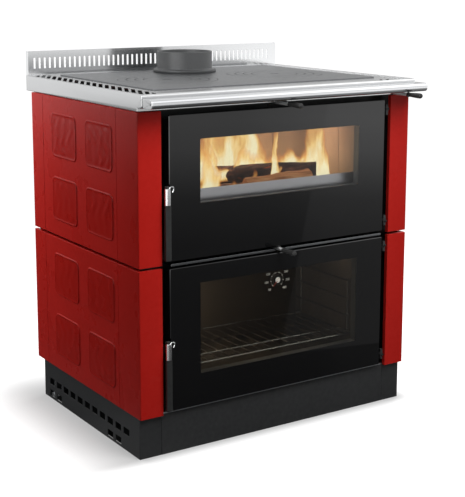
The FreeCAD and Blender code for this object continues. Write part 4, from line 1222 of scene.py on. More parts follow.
@dataclass
class Studio:
    """A white floor that runs out of sight, soft lamps and a white surround."""

    floor_reach: float = 60.0
    surround: float = 0.05
    target: Triple = (0.0, 0.0, 0.45)
    lamps: tuple[tuple[str, Triple, float, float], ...] = (
        ("key_lamp", (0.3, -1.6, 2.2), 1.2, 43.0), ("side_lamp", (-0.8, 1.01, 1.08), 1.0, 16.0),
        ("near_lamp", (-0.25, -1.0, 1.05), 0.3, 1.4),
        ("right_lamp", (1.5, 0.8, 1.3), 1.0, 24.0), ("top_lamp", (0.7, 0.5, 3.4), 1.8, 26.0))
    grade_reach: float = 12.0
    # What mirrors see of the floor is painted shade: graded by distance from dark near the cooker
    # to bright far off, and by the behind grades in the quarter behind and to the left.
    floor_grades: tuple[Span, ...] = ((0.05, 0.06), (0.09, 0.09), (0.19, 0.13), (0.28, 0.26),
                                      (0.42, 0.78), (0.56, 1.0))
    behind_grades: tuple[Span, ...] = ((0.05, 1.6), (0.08, 0.35), (0.2, 0.15), (0.56, 0.24),
                                       (0.64, 1.12))
    sky_grades: tuple[Span, ...] = ((0.5, 0.56), (0.6, 0.5), (0.66, 0.42), (0.74, 0.95),
                                    (0.8, 1.0), (0.9, 1.0), (0.95, 0.4))
    plinth_half: float = 0.385
    plinth_deep: float = 0.262
    plinth_middle: float = 0.03
    bare_floor: str = "949494"
    card_corners: tuple[Span, Span] = ((331.0, 88.0), (262.0, 446.0))
    card_reach: float = 0.62
    card_glow: float = 0.11
    # A painted contact shadow round the plinth: how far it reaches to the left, right, front and
    # rear, and how white the floor is at the plinth.
    painted_shadow_reach: tuple[float, float, float, float] = (0.24, 0.07, 0.07, 0.25)
    painted_shadow_white: float = 0.32

    def build(self, camera: Photographer) -> None:
        """Builds the floor, the lamps, the surround and the card that the door glass mirrors.

        Args:
            camera: the camera, whose mirrored lines of sight place the card.
        """
        scene = bpy.context.scene
        scene.view_settings.view_transform = "Standard"
        self.floor()
        self.world(scene)
        for name, where, size, power in self.lamps:
            self.lamp(name, where, size, power)
        self.card(camera)

    def lamp(self, name: str, where: Triple, size: float, power: float) -> Object:
        """Adds a soft square lamp that looks at the cooker.

        Args:
            name: the lamp's name.
            where: its place in metres.
            size: its side in metres.
            power: its power in watts.

        Returns:
            The lamp.
        """
        data = bpy.data.lights.new(name, "AREA")
        data.shape = "SQUARE"
        data.size = size
        data.energy = power
        lamp = to_object(name, data)
        lamp.location = where
        lamp.rotation_euler = (Vector(self.target) - Vector(where)).to_track_quat(
            "-Z", "Y").to_euler()
        lamp.visible_camera = lamp.visible_glossy = lamp.visible_transmission = False
        return lamp

    def floor(self) -> None:
        """Lays the floor: white to the camera, shadowed, with a painted contact shadow round the
        plinth and painted black beneath it, and dim in mirrors where it is near, which is painted
        shade.
        """
        material = bpy.data.materials.new("studio_floor")
        material.use_nodes = True
        wires = Wires(material.node_tree)
        shader = material.node_tree.nodes["Principled BSDF"]
        shader.inputs["Roughness"].default_value = 0.9
        shader.inputs["Specular IOR Level"].default_value = 0.1
        rays = wires.node("LightPath")
        where = wires.node("TexCoord").outputs["Object"]
        reach = wires.node("VectorMath", {0: where}, operation="LENGTH").outputs[1]
        share = wires.math("DIVIDE", reach, self.grade_reach)
        # The floor's tone in mirrors: painted shade near the cooker and in the quarter behind and
        # to the left, and a painted bright patch to the front left.
        far = wires.ramp(share, *self.floor_grades)
        apart = wires.node("SeparateXYZ", {0: where})
        bearing = wires.node("VectorMath", {0: where}, operation="NORMALIZE")
        behind = wires.ramp(share, *self.behind_grades)
        far = wires.blend(1.0, far, self.quarter(wires, bearing.outputs[0], behind), "MULTIPLY")
        out_x = wires.math("SUBTRACT", wires.math("ABSOLUTE", apart.outputs[0]), self.plinth_half)
        out_y = wires.math("SUBTRACT", wires.math(
            "ABSOLUTE", wires.math("SUBTRACT", apart.outputs[1], self.plinth_middle)),
            self.plinth_deep)
        gap = self.beyond(wires, apart, (out_x, out_y))
        # The floor's white is lowered towards the plinth: a painted contact shadow.
        painted_shadow_level = wires.node("MapRange", {
            "Value": gap, "To Min": self.painted_shadow_white},
            interpolation_type="SMOOTHSTEP").outputs[0]
        # Under the plinth the floor is painted near-black and gives no white: painted shade.
        open_floor = wires.math("GREATER_THAN", wires.math("MAXIMUM", out_x, out_y), 0.0)
        floor_tone_with_painted_shade = wires.blend(open_floor, (0.01, 0.01, 0.01, 1.0), linear(self.bare_floor))
        wires.put(shader.inputs["Base Color"], floor_tone_with_painted_shade)
        white = wires.node("Emission", {
            "Color": (1, 1, 1, 1), "Strength": wires.math("MULTIPLY", open_floor, painted_shadow_level)})
        mirrored = wires.node("Emission", {"Color": far, "Strength": 1.0})
        seen = wires.node("AddShader", {0: shader.outputs[0], 1: white.outputs[0]})
        camera_side = wires.math("MAXIMUM", rays.outputs["Is Camera Ray"],
                                 rays.outputs["Is Transmission Ray"])
        glossy = wires.node("MixShader", {
            0: rays.outputs["Is Glossy Ray"], 1: shader.outputs[0], 2: mirrored.outputs[0]})
        whole = wires.node("MixShader", {0: camera_side, 1: glossy.outputs[0], 2: seen.outputs[0]})
        wires.put(material.node_tree.nodes["Material Output"].inputs["Surface"], whole.outputs[0])
        bm = bmesh.new()
        rim = [bm.verts.new((self.floor_reach * math.cos(math.tau * i / 64),
                             self.floor_reach * math.sin(math.tau * i / 64), 0.0))
               for i in range(64)]
        bm.faces.new(rim)
        floor = shape("floor", bm, None)
        floor.data.materials.append(material)

    def beyond(self, wires: Wires, apart: Node, out: tuple[NodeSocket, NodeSocket]) -> NodeSocket:
        """Gives how far out of the contact shadow a place is, from 0 at the plinth to 1.

        Args:
            wires: the material's wires.
            apart: the place's parts.
            out: how far it is outside the plinth across and along.

        Returns:
            The distance, measured in the shadow's reach on that side.
        """
        squares = []
        for axis, (low, high) in enumerate((self.painted_shadow_reach[:2], self.painted_shadow_reach[2:])):
            positive = wires.math("GREATER_THAN", apart.outputs[axis], 0.0)
            reach = wires.math("MULTIPLY_ADD", positive, high - low, low)
            past = wires.math("DIVIDE", wires.math("MAXIMUM", out[axis], 0.0), reach)
            squares.append(wires.math("MULTIPLY", past, past))
        return wires.math("SQRT", wires.math("ADD", *squares))

    def world(self, scene: Scene) -> None:
        """Makes the surround: white to the eye, softly graded in mirrors, dimmer as a light.

        Args:
            scene: the scene.
        """
        world = bpy.data.worlds.new("studio_surround")
        scene.world = world
        world.use_nodes = True
        wires = Wires(world.node_tree)
        rays = wires.node("LightPath")
        bearing = wires.node("TexCoord").outputs["Generated"]
        height = wires.node("SeparateXYZ", {0: bearing}).outputs[2]
        grey = wires.ramp(wires.math("MULTIPLY_ADD", height, 0.5, 0.5), *self.sky_grades)
        graded = wires.blend(1.0, grey, (1.6, 1.6, 1.6, 1.0), "MULTIPLY")
        graded = wires.blend(1.0, graded, self.quarter(wires, bearing, 1.0), "MULTIPLY")
        seen = wires.math("MAXIMUM", rays.outputs["Is Camera Ray"],
                          rays.outputs["Is Transmission Ray"])
        dim = (self.surround, self.surround, self.surround, 1.0)
        colour = wires.blend(rays.outputs["Is Glossy Ray"], dim, graded)
        colour = wires.blend(seen, colour, (1.0, 1.0, 1.0, 1.0))
        background = world.node_tree.nodes["Background"]
        wires.put(background.inputs["Color"], colour)

    def quarter(self, wires: Wires, bearing: NodeSocket, behind: object) -> NodeSocket:
        """Grades what metal and glass mirror by its bearing from the cooker.

        Args:
            wires: the material's wires.
            bearing: the direction's socket.
            behind: how bright the quarter behind and to the left is, a number or a socket.

        Returns:
            The factor as a colour.
        """
        parts = wires.node("SeparateXYZ", {0: bearing})
        left = wires.node("MapRange", {
            "Value": parts.outputs[0], "From Min": 0.1, "From Max": -0.25}).outputs[0]
        rear = wires.node("MapRange", {
            "Value": parts.outputs[1], "From Min": -0.1, "From Max": 0.25}).outputs[0]
        corner = wires.math("MULTIPLY", wires.node("MapRange", {
            "Value": parts.outputs[0], "From Min": -0.5, "From Max": -0.75}).outputs[0],
            wires.math("SUBTRACT", 1.0, rear))
        right = wires.node("MapRange", {
            "Value": parts.outputs[0], "From Min": 0.53, "From Max": 0.62}).outputs[0]
        level = wires.math("ADD", 1.0, wires.math("MULTIPLY", wires.math(
            "MULTIPLY", left, rear), wires.math("SUBTRACT", behind, 1.0)))
        level = wires.math("ADD", level, wires.math("MULTIPLY", corner, 3.0))
        level = wires.math("SUBTRACT", level, wires.math("MULTIPLY", wires.math(
            "MULTIPLY", wires.math("SUBTRACT", 1.0, left), rear), 0.3))
        level = wires.math("ADD", level, wires.math("MULTIPLY", wires.math(
            "MULTIPLY", right, wires.math("SUBTRACT", 1.0, rear)), 0.35))
        return wires.node("CombineXYZ", {0: level, 1: level, 2: level}).outputs[0]

    def card(self, camera: Photographer) -> None:
        """Stands a card where the door glass mirrors its slanting edge.

        Args:
            camera: the camera.
        """
        door = place(0, -1, 0).y
        edge = []
        for across, down in self.card_corners:
            eye, sight = camera.ray(across, down)
            point = eye + sight * ((door - eye.y) / sight.y)
            edge.append(point + Vector((sight.x, -sight.y, sight.z)) * self.card_reach)
        bm = bmesh.new()
        top, low = edge
        side = Vector((1.6, 0.35, 0.0))
        bm.faces.new([bm.verts.new(p) for p in (top, low, low + side, top + side)])
        card = shape("mirrored_card", bm, None)
        material = bpy.data.materials.new("card_glow")
        material.use_nodes = True
        wires = Wires(material.node_tree)
        glow = wires.node("Emission", {"Strength": self.card_glow})
        clear = wires.node("BsdfTransparent")
        both = wires.node("AddShader", {0: glow.outputs[0], 1: clear.outputs[0]})
        wires.put(material.node_tree.nodes["Material Output"].inputs["Surface"], both.outputs[0])
        card.data.materials.append(material)
        card.visible_camera = False
        card.visible_diffuse = False
        card.visible_shadow = False
        card.visible_transmission = False


@dataclass
class Casing:
    """The enamelled side castings with their tiles, and the sheets behind and below."""

    half_width: float = 399.0
    case_depth: float = 572.0
    wall: float = 10.0
    return_x: float = 338.0
    corner_radius: float = 3.0
    joint_lines: Span = (102.0, 504.0)
    joint_width: float = 1.6
    joint_depth: float = 1.0
    rounding: float = 1.2
    tile_rise: float = 1.45
    bead: float = 0.6
    ripple: float = 0.95
    rim_lines: tuple[float, ...] = (0.0, 0.5, 1.1, 1.8, 2.6, 3.5, 4.6, 6.0)
    tile_depths: tuple[Span, Span] = ((121.0, 261.5), (311.5, 452.0))
    tile_heights: dict[str, tuple[Span, Span]] = field(default_factory=lambda: {
        "lower": ((141.0, 253.0), (303.0, 415.0)), "upper": ((501.5, 615.0), (665.0, 778.5))})
    tile_radius: float = 16.0
    screw_radius: float = 4.2

    def build(self) -> None:
        """Builds the four castings, their tiles, the rear sheet and the floor sheet."""
        for side, name in ((-1, "left"), (1, "right")):
            for level, rows in self.tile_heights.items():
                self.casting(name, level, side)
                self.tiles(name, level, side, rows)
        softened("rear_panel", Group.COOKER, Slot.GALVANISED, Finishes.GALVANISED, 0.5)
        softened("base_pan", Group.COOKER, Slot.GALVANISED, Finishes.GALVANISED, 0.5)
        self.rear_fittings()

    def section(self) -> list[Span]:
        """Gives a casting's level section: a side with two joint lines, and its front return."""
        out, deep, corner = self.half_width, self.case_depth, self.corner_radius
        points = [(self.return_x, self.wall), (self.return_x, 0.0)]
        for step in range(5):
            angle = math.radians(-90 + 90 * step / 4)
            points.append((out - corner + corner * math.cos(angle),
                           corner + corner * math.sin(angle)))
        for line in self.joint_lines:
            points += [(out, line), (out - self.joint_depth, line),
                       (out - self.joint_depth, line + self.joint_width),
                       (out, line + self.joint_width)]
        return points + [(out, deep), (out - self.wall, deep), (out - self.wall, self.wall)]

    def casting(self, name: str, level: str, side: int) -> None:
        """Builds one casting with a rounded front corner and softened top and bottom edges.

        Args:
            name: left or right.
            level: lower or upper.
            side: -1 on the left and 1 on the right.
        """
        node = f"{name}_{level}_panel"
        low, high = millimetres(node)
        bm = bmesh.new()
        rings = [[bm.verts.new(place(side * x, y, z)) for x, y in self.section()]
                 for z in (low.z, high.z)]
        count = len(rings[0])
        bridged(bm, *rings)
        for ring in rings:
            bm.faces.new(ring)
            rim = [bm.edges.get((ring[step], ring[(step + 1) % count]))
                   for step in range(1, count - 3)]
            outer = [edge for edge in rim if edge.calc_length() > 2 * self.rounding * MM
                     or edge.verts[0].co.y < place(0, self.corner_radius + 0.1, 0).y]
            bmesh.ops.bevel(bm, geom=outer, offset=self.rounding * MM, segments=3,
                            affect="EDGES", clamp_overlap=True, profile=0.5)
        piece = shape(f"{name}_{level}_casting", bm, Finishes.RED, 35.0, True)
        weighted = piece.modifiers.new("flat_faces_lead", "WEIGHTED_NORMAL")
        weighted.keep_sharp = True
        fit(plain(piece), Group.COOKER, Slot.RED_ENAMEL, node)

    def tiles(self, name: str, level: str, side: int, rows: tuple[Span, Span]) -> None:
        """Builds one casting's four raised tiles.

        Args:
            name: left or right.
            level: lower or upper.
            side: -1 on the left and 1 on the right.
            rows: the tiles' lowest and highest points.
        """
        bm = bmesh.new()
        number = 0
        for depth in self.tile_depths:
            for rise in rows:
                number += 1
                self.tile(bm, side, depth, rise, number + (5 if level == "upper" else 0))
        piece = shape(f"{name}_{level}_tiles", bm, Finishes.RED_TILE, 75.0)
        fit(piece, Group.COOKER, Slot.RED_ENAMEL)

    def across(self, start: float, end: float, count: int) -> list[float]:
        """Gives the grid lines across a tile, close together over its beaded rim.

        Args:
            start: one edge.
            end: the other edge.
            count: the number of even steps between the rims.

        Returns:
            The lines' places.
        """
        inner = self.rim_lines[-1]
        near = [start + line for line in self.rim_lines]
        middle = [start + inner + (end - start - 2 * inner) * step / count
                  for step in range(1, count)]
        return near + middle + [end - line for line in reversed(self.rim_lines)]

    def rise_of(self, rim: float, y: float, z: float, number: int) -> float:
        """Gives how far a tile stands out at a place.

        Args:
            rim: the distance from the tile's edge.
            y: the distance behind the front face.
            z: the height.
            number: shifts the folds, so that the tiles differ.

        Returns:
            The height above the casting.
        """
        shoulder = min(1.0, rim / 1.6)
        level = self.tile_rise * math.sin(shoulder * math.pi / 2)
        bead = self.bead * math.exp(-((rim - 3.2) / 1.8) ** 2)
        fade = min(1.0, max(0.0, (rim - 5.0) / 12.0)) ** 1.2
        bend = 9.0 * math.sin(z / 21.0 + number * 1.7) + 5.0 * math.sin(
            z / 9.0 + y / 31.0 + number)
        fold = 0.5 + 0.5 * math.sin((y + bend) / 5.6 + number)
        swell = 0.5 + 0.5 * noise.noise(Vector((y / 26.0, z / 34.0, number * 3.1)))
        return level + bead + self.ripple * fade * fold * swell

    def tile(self, bm: BMesh, side: int, depth: Span, rise: Span, number: int) -> None:
        """Adds one tile: a beaded rim round a face rippled like draped enamel.

        Args:
            bm: the mesh that it goes into.
            side: -1 on the left and 1 on the right.
            depth: its front and rear edges.
            rise: its lowest and highest points.
            number: shifts the ripples, so that the tiles differ.
        """
        corner = self.tile_radius
        middle = Vector(((depth[0] + depth[1]) / 2, (rise[0] + rise[1]) / 2))
        half = Vector(((depth[1] - depth[0]) / 2, (rise[1] - rise[0]) / 2))
        grid: list[list[BMVert]] = []
        for z in self.across(rise[0], rise[1], 26):
            inset = max(0.0, corner - min(z - rise[0], rise[1] - z))
            pull = corner - math.sqrt(max(0.0, corner ** 2 - inset ** 2))
            line = []
            for y in self.across(depth[0] + pull, depth[1] - pull, 54):
                past = Vector((max(0.0, abs(y - middle.x) - half.x + corner),
                               max(0.0, abs(z - middle.y) - half.y + corner)))
                inside = min(0.0, max(abs(y - middle.x) - half.x + corner,
                                      abs(z - middle.y) - half.y + corner))
                rim = max(0.0, corner - past.length - inside)
                x = self.half_width - 0.15 + self.rise_of(rim, y, z, number)
                line.append(bm.verts.new(place(side * x, y, z)))
            grid.append(line)
        for one, two in zip(grid, grid[1:]):
            for column in range(len(one) - 1):
                face = (one[column], one[column + 1], two[column + 1], two[column])
                bm.faces.new(face if side > 0 else tuple(reversed(face)))

    def rear_fittings(self) -> None:
        """Adds the screws that hold the rear sheet."""
        low, high = millimetres("rear_panel")
        points = []
        for x in (low.x + 14, high.x - 14):
            for step in range(6):
                points.append(place(x, high.y, low.z + 40 + step * (high.z - low.z - 80) / 5))
        for step in range(1, 5):
            x = low.x + 14 + step * (high.x - low.x - 28) / 5
            points += [place(x, high.y, low.z + 16), place(x, high.y, high.z - 22)]
        screws = Repeats.apply("rear_screws", Repeats.screws(), points, Finishes.GALVANISED,
                               Radius=self.screw_radius * MM, Height=0.0028,
                               Turn=(-math.pi / 2, 0.0, 0.0))
        fit(screws, Group.COOKER, Slot.GALVANISED)


@dataclass
class Plinth:
    """The black plinth sheets and the feet inside them."""

    edge: float = 0.8

    def build(self) -> None:
        """Softens the four sheets and gives the feet their finish."""
        for side in ("front", "left", "right", "back"):
            softened(f"plinth_{side}", Group.COOKER, Slot.PLINTH_BLACK, Finishes.PLINTH, self.edge)
        refinish(Finishes.GALVANISED, "plinth_feet")


@dataclass
class Worktop:
    """The folded worktop, its splashback, the rail across the front and its fittings."""

    fascia_screws: tuple[float, float] = (293.0, 314.0)

    def build(self) -> None:
        """Builds the worktop's sheets, the rail and the fasteners."""
        softened("worktop_frame", Group.COOKER, Slot.STAINLESS, Finishes.STAINLESS, 0.8)
        softened("splashback", Group.COOKER, Slot.STAINLESS, Finishes.SPLASH, 0.35)
        softened("front_rail", Group.COOKER, Slot.STAINLESS, Finishes.RAIL, 0.6, 3)
        softened("rail_end_caps", Group.COOKER, Slot.STAINLESS, Finishes.STAINLESS, 0.5)
        softened("rail_bosses", Group.COOKER, Slot.STAINLESS, Finishes.STAINLESS, 0.4)
        self.fasteners()

    def fasteners(self) -> None:
        """Adds the rail's end screws, and the two dark screws on the worktop's nose."""
        _, top = millimetres("worktop_frame")
        nose = [place(x, -12.0, top.z) for x in self.fascia_screws]
        # The screw heads take the near-black with painted shade.
        dark = Repeats.apply("nose_screws", Repeats.screws(), nose, Finishes.BLACK_WITH_PAINTED_SHADE,
                             Radius=0.0042, Height=0.0018)
        fit(dark, Group.COOKER, Slot.BLACK_STEEL)
        low, high = millimetres("rail_end_caps")
        middle = (low.z + high.z) / 2
        for side, x in (("left", low.x + 1.0), ("right", high.x - 1.0)):
            screw = Repeats.apply(f"rail_screw_{side}", Repeats.screws(),
                                  [place(x, low.y + 9.0, middle)], Finishes.BLACK_WITH_PAINTED_SHADE,
                                  Radius=0.0034, Height=0.0014,
                                  Turn=(0.0, math.copysign(math.pi / 2, x), 0.0))
            fit(screw, Group.COOKER, Slot.BLACK_STEEL)


@dataclass
class Hob:
    """The ground iron plate, its two rings and the flue collar."""

    collar_y: float = 458.0
    bore: float = 70.0
    wall: float = 4.5
    flange: float = 85.0
    flange_height: float = 9.0

    def build(self) -> None:
        """Softens the plate and rings, and turns the collar."""
        softened("hob_plate", Group.COOKER, Slot.HOB_IRON, Finishes.HOB, 1.4, 3)
        for name, group in (("left", Group.LEFT_DISC), ("right", Group.RIGHT_DISC)):
            softened(f"{name}_hob_disc", group, Slot.HOB_IRON, Finishes.RING, 0.3)
        self.collar()

    def collar(self) -> None:
        """Turns the collar with a soft flange, a root fillet and a rounded lip."""
        low, high = millimetres("flue_collar")
        tall = high.z - low.z
        outer = self.bore + self.wall
        lip, foot = 1.6, self.flange_height
        profile = [(self.bore, 0.0), (self.bore, tall - lip), (self.bore + 0.5, tall - 0.4),
                   (self.bore + lip, tall), (outer - lip, tall), (outer - 0.5, tall - 0.4),
                   (outer, tall - lip), (outer, foot + 3.5), (outer + 0.9, foot + 1.2),
                   (outer + 3.2, foot), (self.flange - 2.6, foot), (self.flange - 0.7, foot - 0.8),
                   (self.flange, foot - 2.6), (self.flange, 0.4), (self.flange - 0.4, 0.0),
                   (self.bore, 0.0)]
        bm = bmesh.new()
        turned(bm, profile, place(0, self.collar_y, low.z), "z", 96)
        piece = shape("flue_collar_turned", bm, Finishes.COLLAR, 50.0, True)
        fit(piece, Group.COOKER, Slot.COLLAR_IRON, "flue_collar")


class DoorKind(Enum):
    """The two doors."""

    FIRE = "fire"
    OVEN = "oven"


@dataclass
class Door:
    """A door: printed outer glass with a clear window, frame, inner glass, seal and handle."""

    kind: DoorKind
    group: Group
    handle_group: Group
    window: Span
    window_half: float = 235.0
    glass_edge: float = 1.2
    seal_radius: float = 2.9
    seal_twists: float = 120.0

    @property
    def name(self) -> str:
        """Gives the first part of its nodes' names."""
        return f"{self.kind.value}_door"

    @property
    def handle_name(self) -> str:
        """Gives the first part of its handle's nodes' names."""
        return f"{self.kind.value}_handle"

    def build(self) -> None:
        """Builds the glass, the frame and its fittings, the seal and the handle."""
        self.outer_glass()
        softened(f"{self.name}_frame", self.group, Slot.BLACK_STEEL, Finishes.BLACK, 0.7)
        refinish(Finishes.INNER, f"{self.name}_inner_glass")
        refinish(Finishes.BLACK, f"{self.name}_hinge_pins")
        self.seal()
        self.handle()

    def outer_glass(self) -> None:
        """Builds the printed border with its ground edge, and the clear pane inside it."""
        low, high = millimetres(f"{self.name}_glass")
        edge = self.glass_edge
        wide, tall = (low.x, high.x), (low.z, high.z)
        hole = rounded_loop((-self.window_half, self.window_half), self.window, 2.0)
        outer = rounded_loop(wide, tall, 2.5)
        front = rounded_loop((wide[0] + edge, wide[1] - edge), (tall[0] + edge, tall[1] - edge),
                             1.6)
        bm = bmesh.new()
        lofted(bm, [(low.y, hole), (low.y, front), (low.y + edge, outer), (high.y - 0.4, outer),
                    (high.y, front), (high.y, hole)], closed=True)
        border = shape(f"{self.name}_printed_glass", bm, Finishes.BORDER, 30.0, True)
        fit(border, self.group, Slot.BLACK_GLASS, f"{self.name}_glass")
        gap = 0.03
        inner = rounded_loop((gap - self.window_half, self.window_half - gap),
                             (self.window[0] + gap, self.window[1] - gap), 2.0)
        bm = bmesh.new()
        lofted(bm, [(low.y, inner), (high.y, inner)])
        glass = Finishes.SMOKED if self.kind is DoorKind.OVEN else Finishes.GLASS
        pane = shape(f"{self.name}_window", bm, glass, 30.0, True)
        # The pane's edge faces take the near-black: painted shade.
        pane.data.materials.append(Finishes.BLACK_WITH_PAINTED_SHADE.material())
        for face in pane.data.polygons:
            face.material_index = int(abs(face.normal.y) < 0.5)
        fit(pane, self.group, Slot.BLACK_GLASS)

    def seal(self) -> None:
        """Braids the rope seal round the frame's back."""
        node = f"{self.name}_seal"
        low, high = millimetres(node)
        y = (low.y + high.y) / 2
        inset = (high.y - low.y) / 2
        loop = rounded_loop((low.x + inset, high.x - inset), (low.z + inset, high.z - inset),
                            12.0, 6)
        rope = Repeats.apply(f"{node}_rope", Repeats.braid(), [place(x, y, z) for x, z in loop],
                             Finishes.SEAL, loop=True, Radius=self.seal_radius * MM,
                             Strand=(self.seal_radius - 0.1) * MM, Twists=self.seal_twists)
        fit(rope, self.group, Slot.SEAL_ROPE, node)

    def handle(self) -> None:
        """Builds the handle's sleeve with its bent tab, its bar and its latch."""
        node = f"{self.handle_name}_sleeve"
        softened(node, self.handle_group, Slot.STAINLESS, Finishes.STAINLESS_UP, 1.0, 3)
        low, high = millimetres(node)
        x, y, top = low.x + 7.5, low.y + 6.0, high.z
        tab = tube(f"{self.handle_name}_tab",
                   [place(x, y - 4.5, top - 1), place(x + 2, y - 6, top + 4),
                    place(x + 7, y - 7, top + 5), place(x + 10.5, y - 7.5, top + 3),
                    place(x + 11, y - 7.5, top - 3), place(x + 8, y - 7, top - 8)],
                   1.3, Finishes.STAINLESS_UP, sides=12, smooth=True)
        fit(tab, self.handle_group, Slot.STAINLESS)
        bm = bmesh.new()
        block(bm, place(x - 6.5, y - 4.5, top - 0.5), place(x + 3.5, y + 6, top + 5.5), 0.0014)
        cap = shape(f"{self.handle_name}_cap", bm, Finishes.BLACK)
        fit(cap, self.handle_group, Slot.BLACK_STEEL)
        softened(f"{self.handle_name}_bar", self.handle_group, Slot.BLACK_STEEL, Finishes.BLACK,
                 2.2, 4)
        softened(f"{self.kind.value}_latch", self.handle_group, Slot.BLACK_STEEL, Finishes.BLACK,
                 0.5)


@dataclass
class Thermometer:
    """The oven thermometer: a hub brightened by a painted glow, in a ring of dots and plain
    numbers on the glass, which have a painted glow too.
    """

    z: float = 378.0
    print_y: float = 33.9
    dot_ring: float = 18.5
    number_ring: float = 32.0
    first_angle: float = 225.0
    step_angle: float = 38.57
    numbers: tuple[str, ...] = ("50", "100", "150", "200", "250", "300", "350", "400")
    number_height: float = 8.0

    def build(self) -> None:
        """Builds the hub, the needle, the dots and the numbers."""
        self.hub()
        softened("thermometer_needle", Group.NEEDLE, Slot.NEEDLE_RED, Finishes.NEEDLE, 0.1)
        self.dots()
        self.figures()

    def hub(self) -> None:
        """Turns the black housing and its domed white cap, which has a painted glow."""
        low, high = millimetres("thermometer_dial")
        front, deep = low.y, high.y
        bm = bmesh.new()
        profile = [(0.0, deep - front), (12.4, deep - front), (13.0, deep - front - 0.6),
                   (13.0, 2.8), (12.2, 2.0), (9.0, 2.0), (8.0, 1.8), (0.0, 1.8)]
        turned(bm, profile, place(0, front, self.z), "y", 40)
        piece = shape("thermometer_housing", bm, Finishes.HUB, 40.0, True)
        fit(piece, Group.OVEN_DOOR, Slot.DIAL_FACE, "thermometer_dial")
        bm = bmesh.new()
        dome = [(0.0, 0.0), (2.5, 0.15), (4.6, 0.5), (6.3, 1.0), (7.0, 1.6), (7.0, 2.2),
                (0.0, 2.2)]
        turned(bm, dome, place(0, front - 0.3, self.z), "y", 32)
        # The white cap glows: painted light.
        fit(shape("thermometer_hub", bm, Finishes.WHITE, 50.0, True), Group.NEEDLE,
            Slot.NEEDLE_RED)

    def dots(self) -> None:
        """Prints the ring of dots on the glass."""
        bm = bmesh.new()
        count = 3 * (len(self.numbers) - 1) + 1
        for dot in range(count):
            angle = math.radians(self.first_angle - dot * self.step_angle / 3)
            x = self.dot_ring * math.cos(angle)
            z = self.z + self.dot_ring * math.sin(angle)
            radius = 1.3 if dot % 3 == 0 else 0.6
            turned(bm, [(0.0, -0.25), (radius * 0.85, -0.25), (radius, 0.0), (0.0, 0.0)],
                   place(x, self.print_y, z), "y", 12)
        piece = shape("thermometer_dots", bm, Finishes.DIAL, 40.0, True)
        fit(piece, Group.OVEN_DOOR, Slot.DIAL_FACE)

    def figures(self) -> None:
        """Prints the plain numbers round the dots."""
        bm = bmesh.new()
        for index, text in enumerate(self.numbers):
            angle = math.radians(self.first_angle - index * self.step_angle)
            curve = bpy.data.curves.new("figure", "FONT")
            curve.body = text
            curve.size = self.number_height * MM
            curve.extrude = 0.0001
            curve.align_x, curve.align_y = "CENTER", "CENTER"
            figure = plain(to_object("figure", curve))
            where = place(self.number_ring * math.cos(angle), self.print_y - 0.15,
                          self.z + self.number_ring * math.sin(angle))
            figure.data.transform(Matrix.Translation(where) @ Matrix.Rotation(math.pi / 2, 4, "X"))
            bm.from_mesh(figure.data)
            bpy.data.objects.remove(figure)
        piece = shape("thermometer_numbers", bm, Finishes.DIAL, 40.0)
        fit(piece, Group.OVEN_DOOR, Slot.DIAL_FACE)


@dataclass
class Front:
    """The steel sheet behind the doors, the bright strip between them and the door brackets."""

    def build(self) -> None:
        """Softens the sheet, the strip and the brackets."""
        softened("front_frame", Group.COOKER, Slot.BLACK_STEEL, Finishes.BLACK, 0.5)
        softened("mid_trim", Group.COOKER, Slot.STAINLESS, Finishes.TRIM, 0.5)
        # The brackets take the near-black with painted shade.
        softened("door_brackets", Group.COOKER, Slot.BLACK_STEEL, Finishes.BLACK_WITH_PAINTED_SHADE, 0.3)


@dataclass
class PullRod:
    """A sliding rod with a turned black knob and a black ring at its root."""

    name: str
    group: Group

    def build(self) -> None:
        """Turns the knob and its ring, and finishes the rod."""
        low, high = millimetres(f"{self.name}_knob")
        centre = place((low.x + high.x) / 2, low.y, (low.z + high.z) / 2)
        length, radius = high.y - low.y, (high.x - low.x) / 2
        body = length - 3.0
        profile = [(0.0, 0.0), (radius * 0.5, 0.3), (radius * 0.82, 1.4), (radius * 0.97, 3.6),
                   (radius, 6.5), (radius, 14.0), (radius * 0.93, 24.0),
                   (radius * 0.84, 34.0), (radius * 0.8, body - 5.0), (radius * 0.86, body - 1.0),
                   (radius * 0.8, body), (0.0, body)]
        bm = bmesh.new()
        turned(bm, profile, centre, "y", 40)
        knob = shape(f"{self.name}_grip", bm, Finishes.KNOB, 50.0, True)
        fit(knob, self.group, Slot.KNOB_BLACK, f"{self.name}_knob")
        bm = bmesh.new()
        turned(bm, [(0.0, body), (radius * 0.86, body), (radius * 0.95, body + 0.6),
                    (radius * 0.95, length - 0.6), (radius * 0.86, length), (0.0, length)],
               centre, "y", 32)
        ring = shape(f"{self.name}_ring", bm, Finishes.KNOB, 40.0, True)
        fit(ring, self.group, Slot.BLACK_STEEL)
        refinish(Finishes.ROD, f"{self.name}_rod")


@dataclass
class Oven:
    """The oven box, its wire ladders and shelf, and the light inside."""

    glow: Triple = (1.0, 0.86, 0.7)
    lamps: tuple[tuple[str, Triple, float, float], ...] = (
        ("left", (-150.0, 380.0, 290.0), 3.4, 0.05), ("right", (-40.0, 90.0, 385.0), 3.4, 0.03),
        ("door", (232.0, 140.0, 402.0), 0.3, 0.02))

    def build(self) -> None:
        """Finishes the box, the ladders and the shelf, and lights them."""
        softened("oven_box", Group.COOKER, Slot.OVEN_ENAMEL, Finishes.OVEN, 0.4)
        refinish(Finishes.CHROME, "left_rack_runner", "right_rack_runner", "oven_rack")
        for name, where, power, radius in self.lamps:
            inner_lamp(f"oven_glow_{name}", place(*where), power, self.glow, radius)


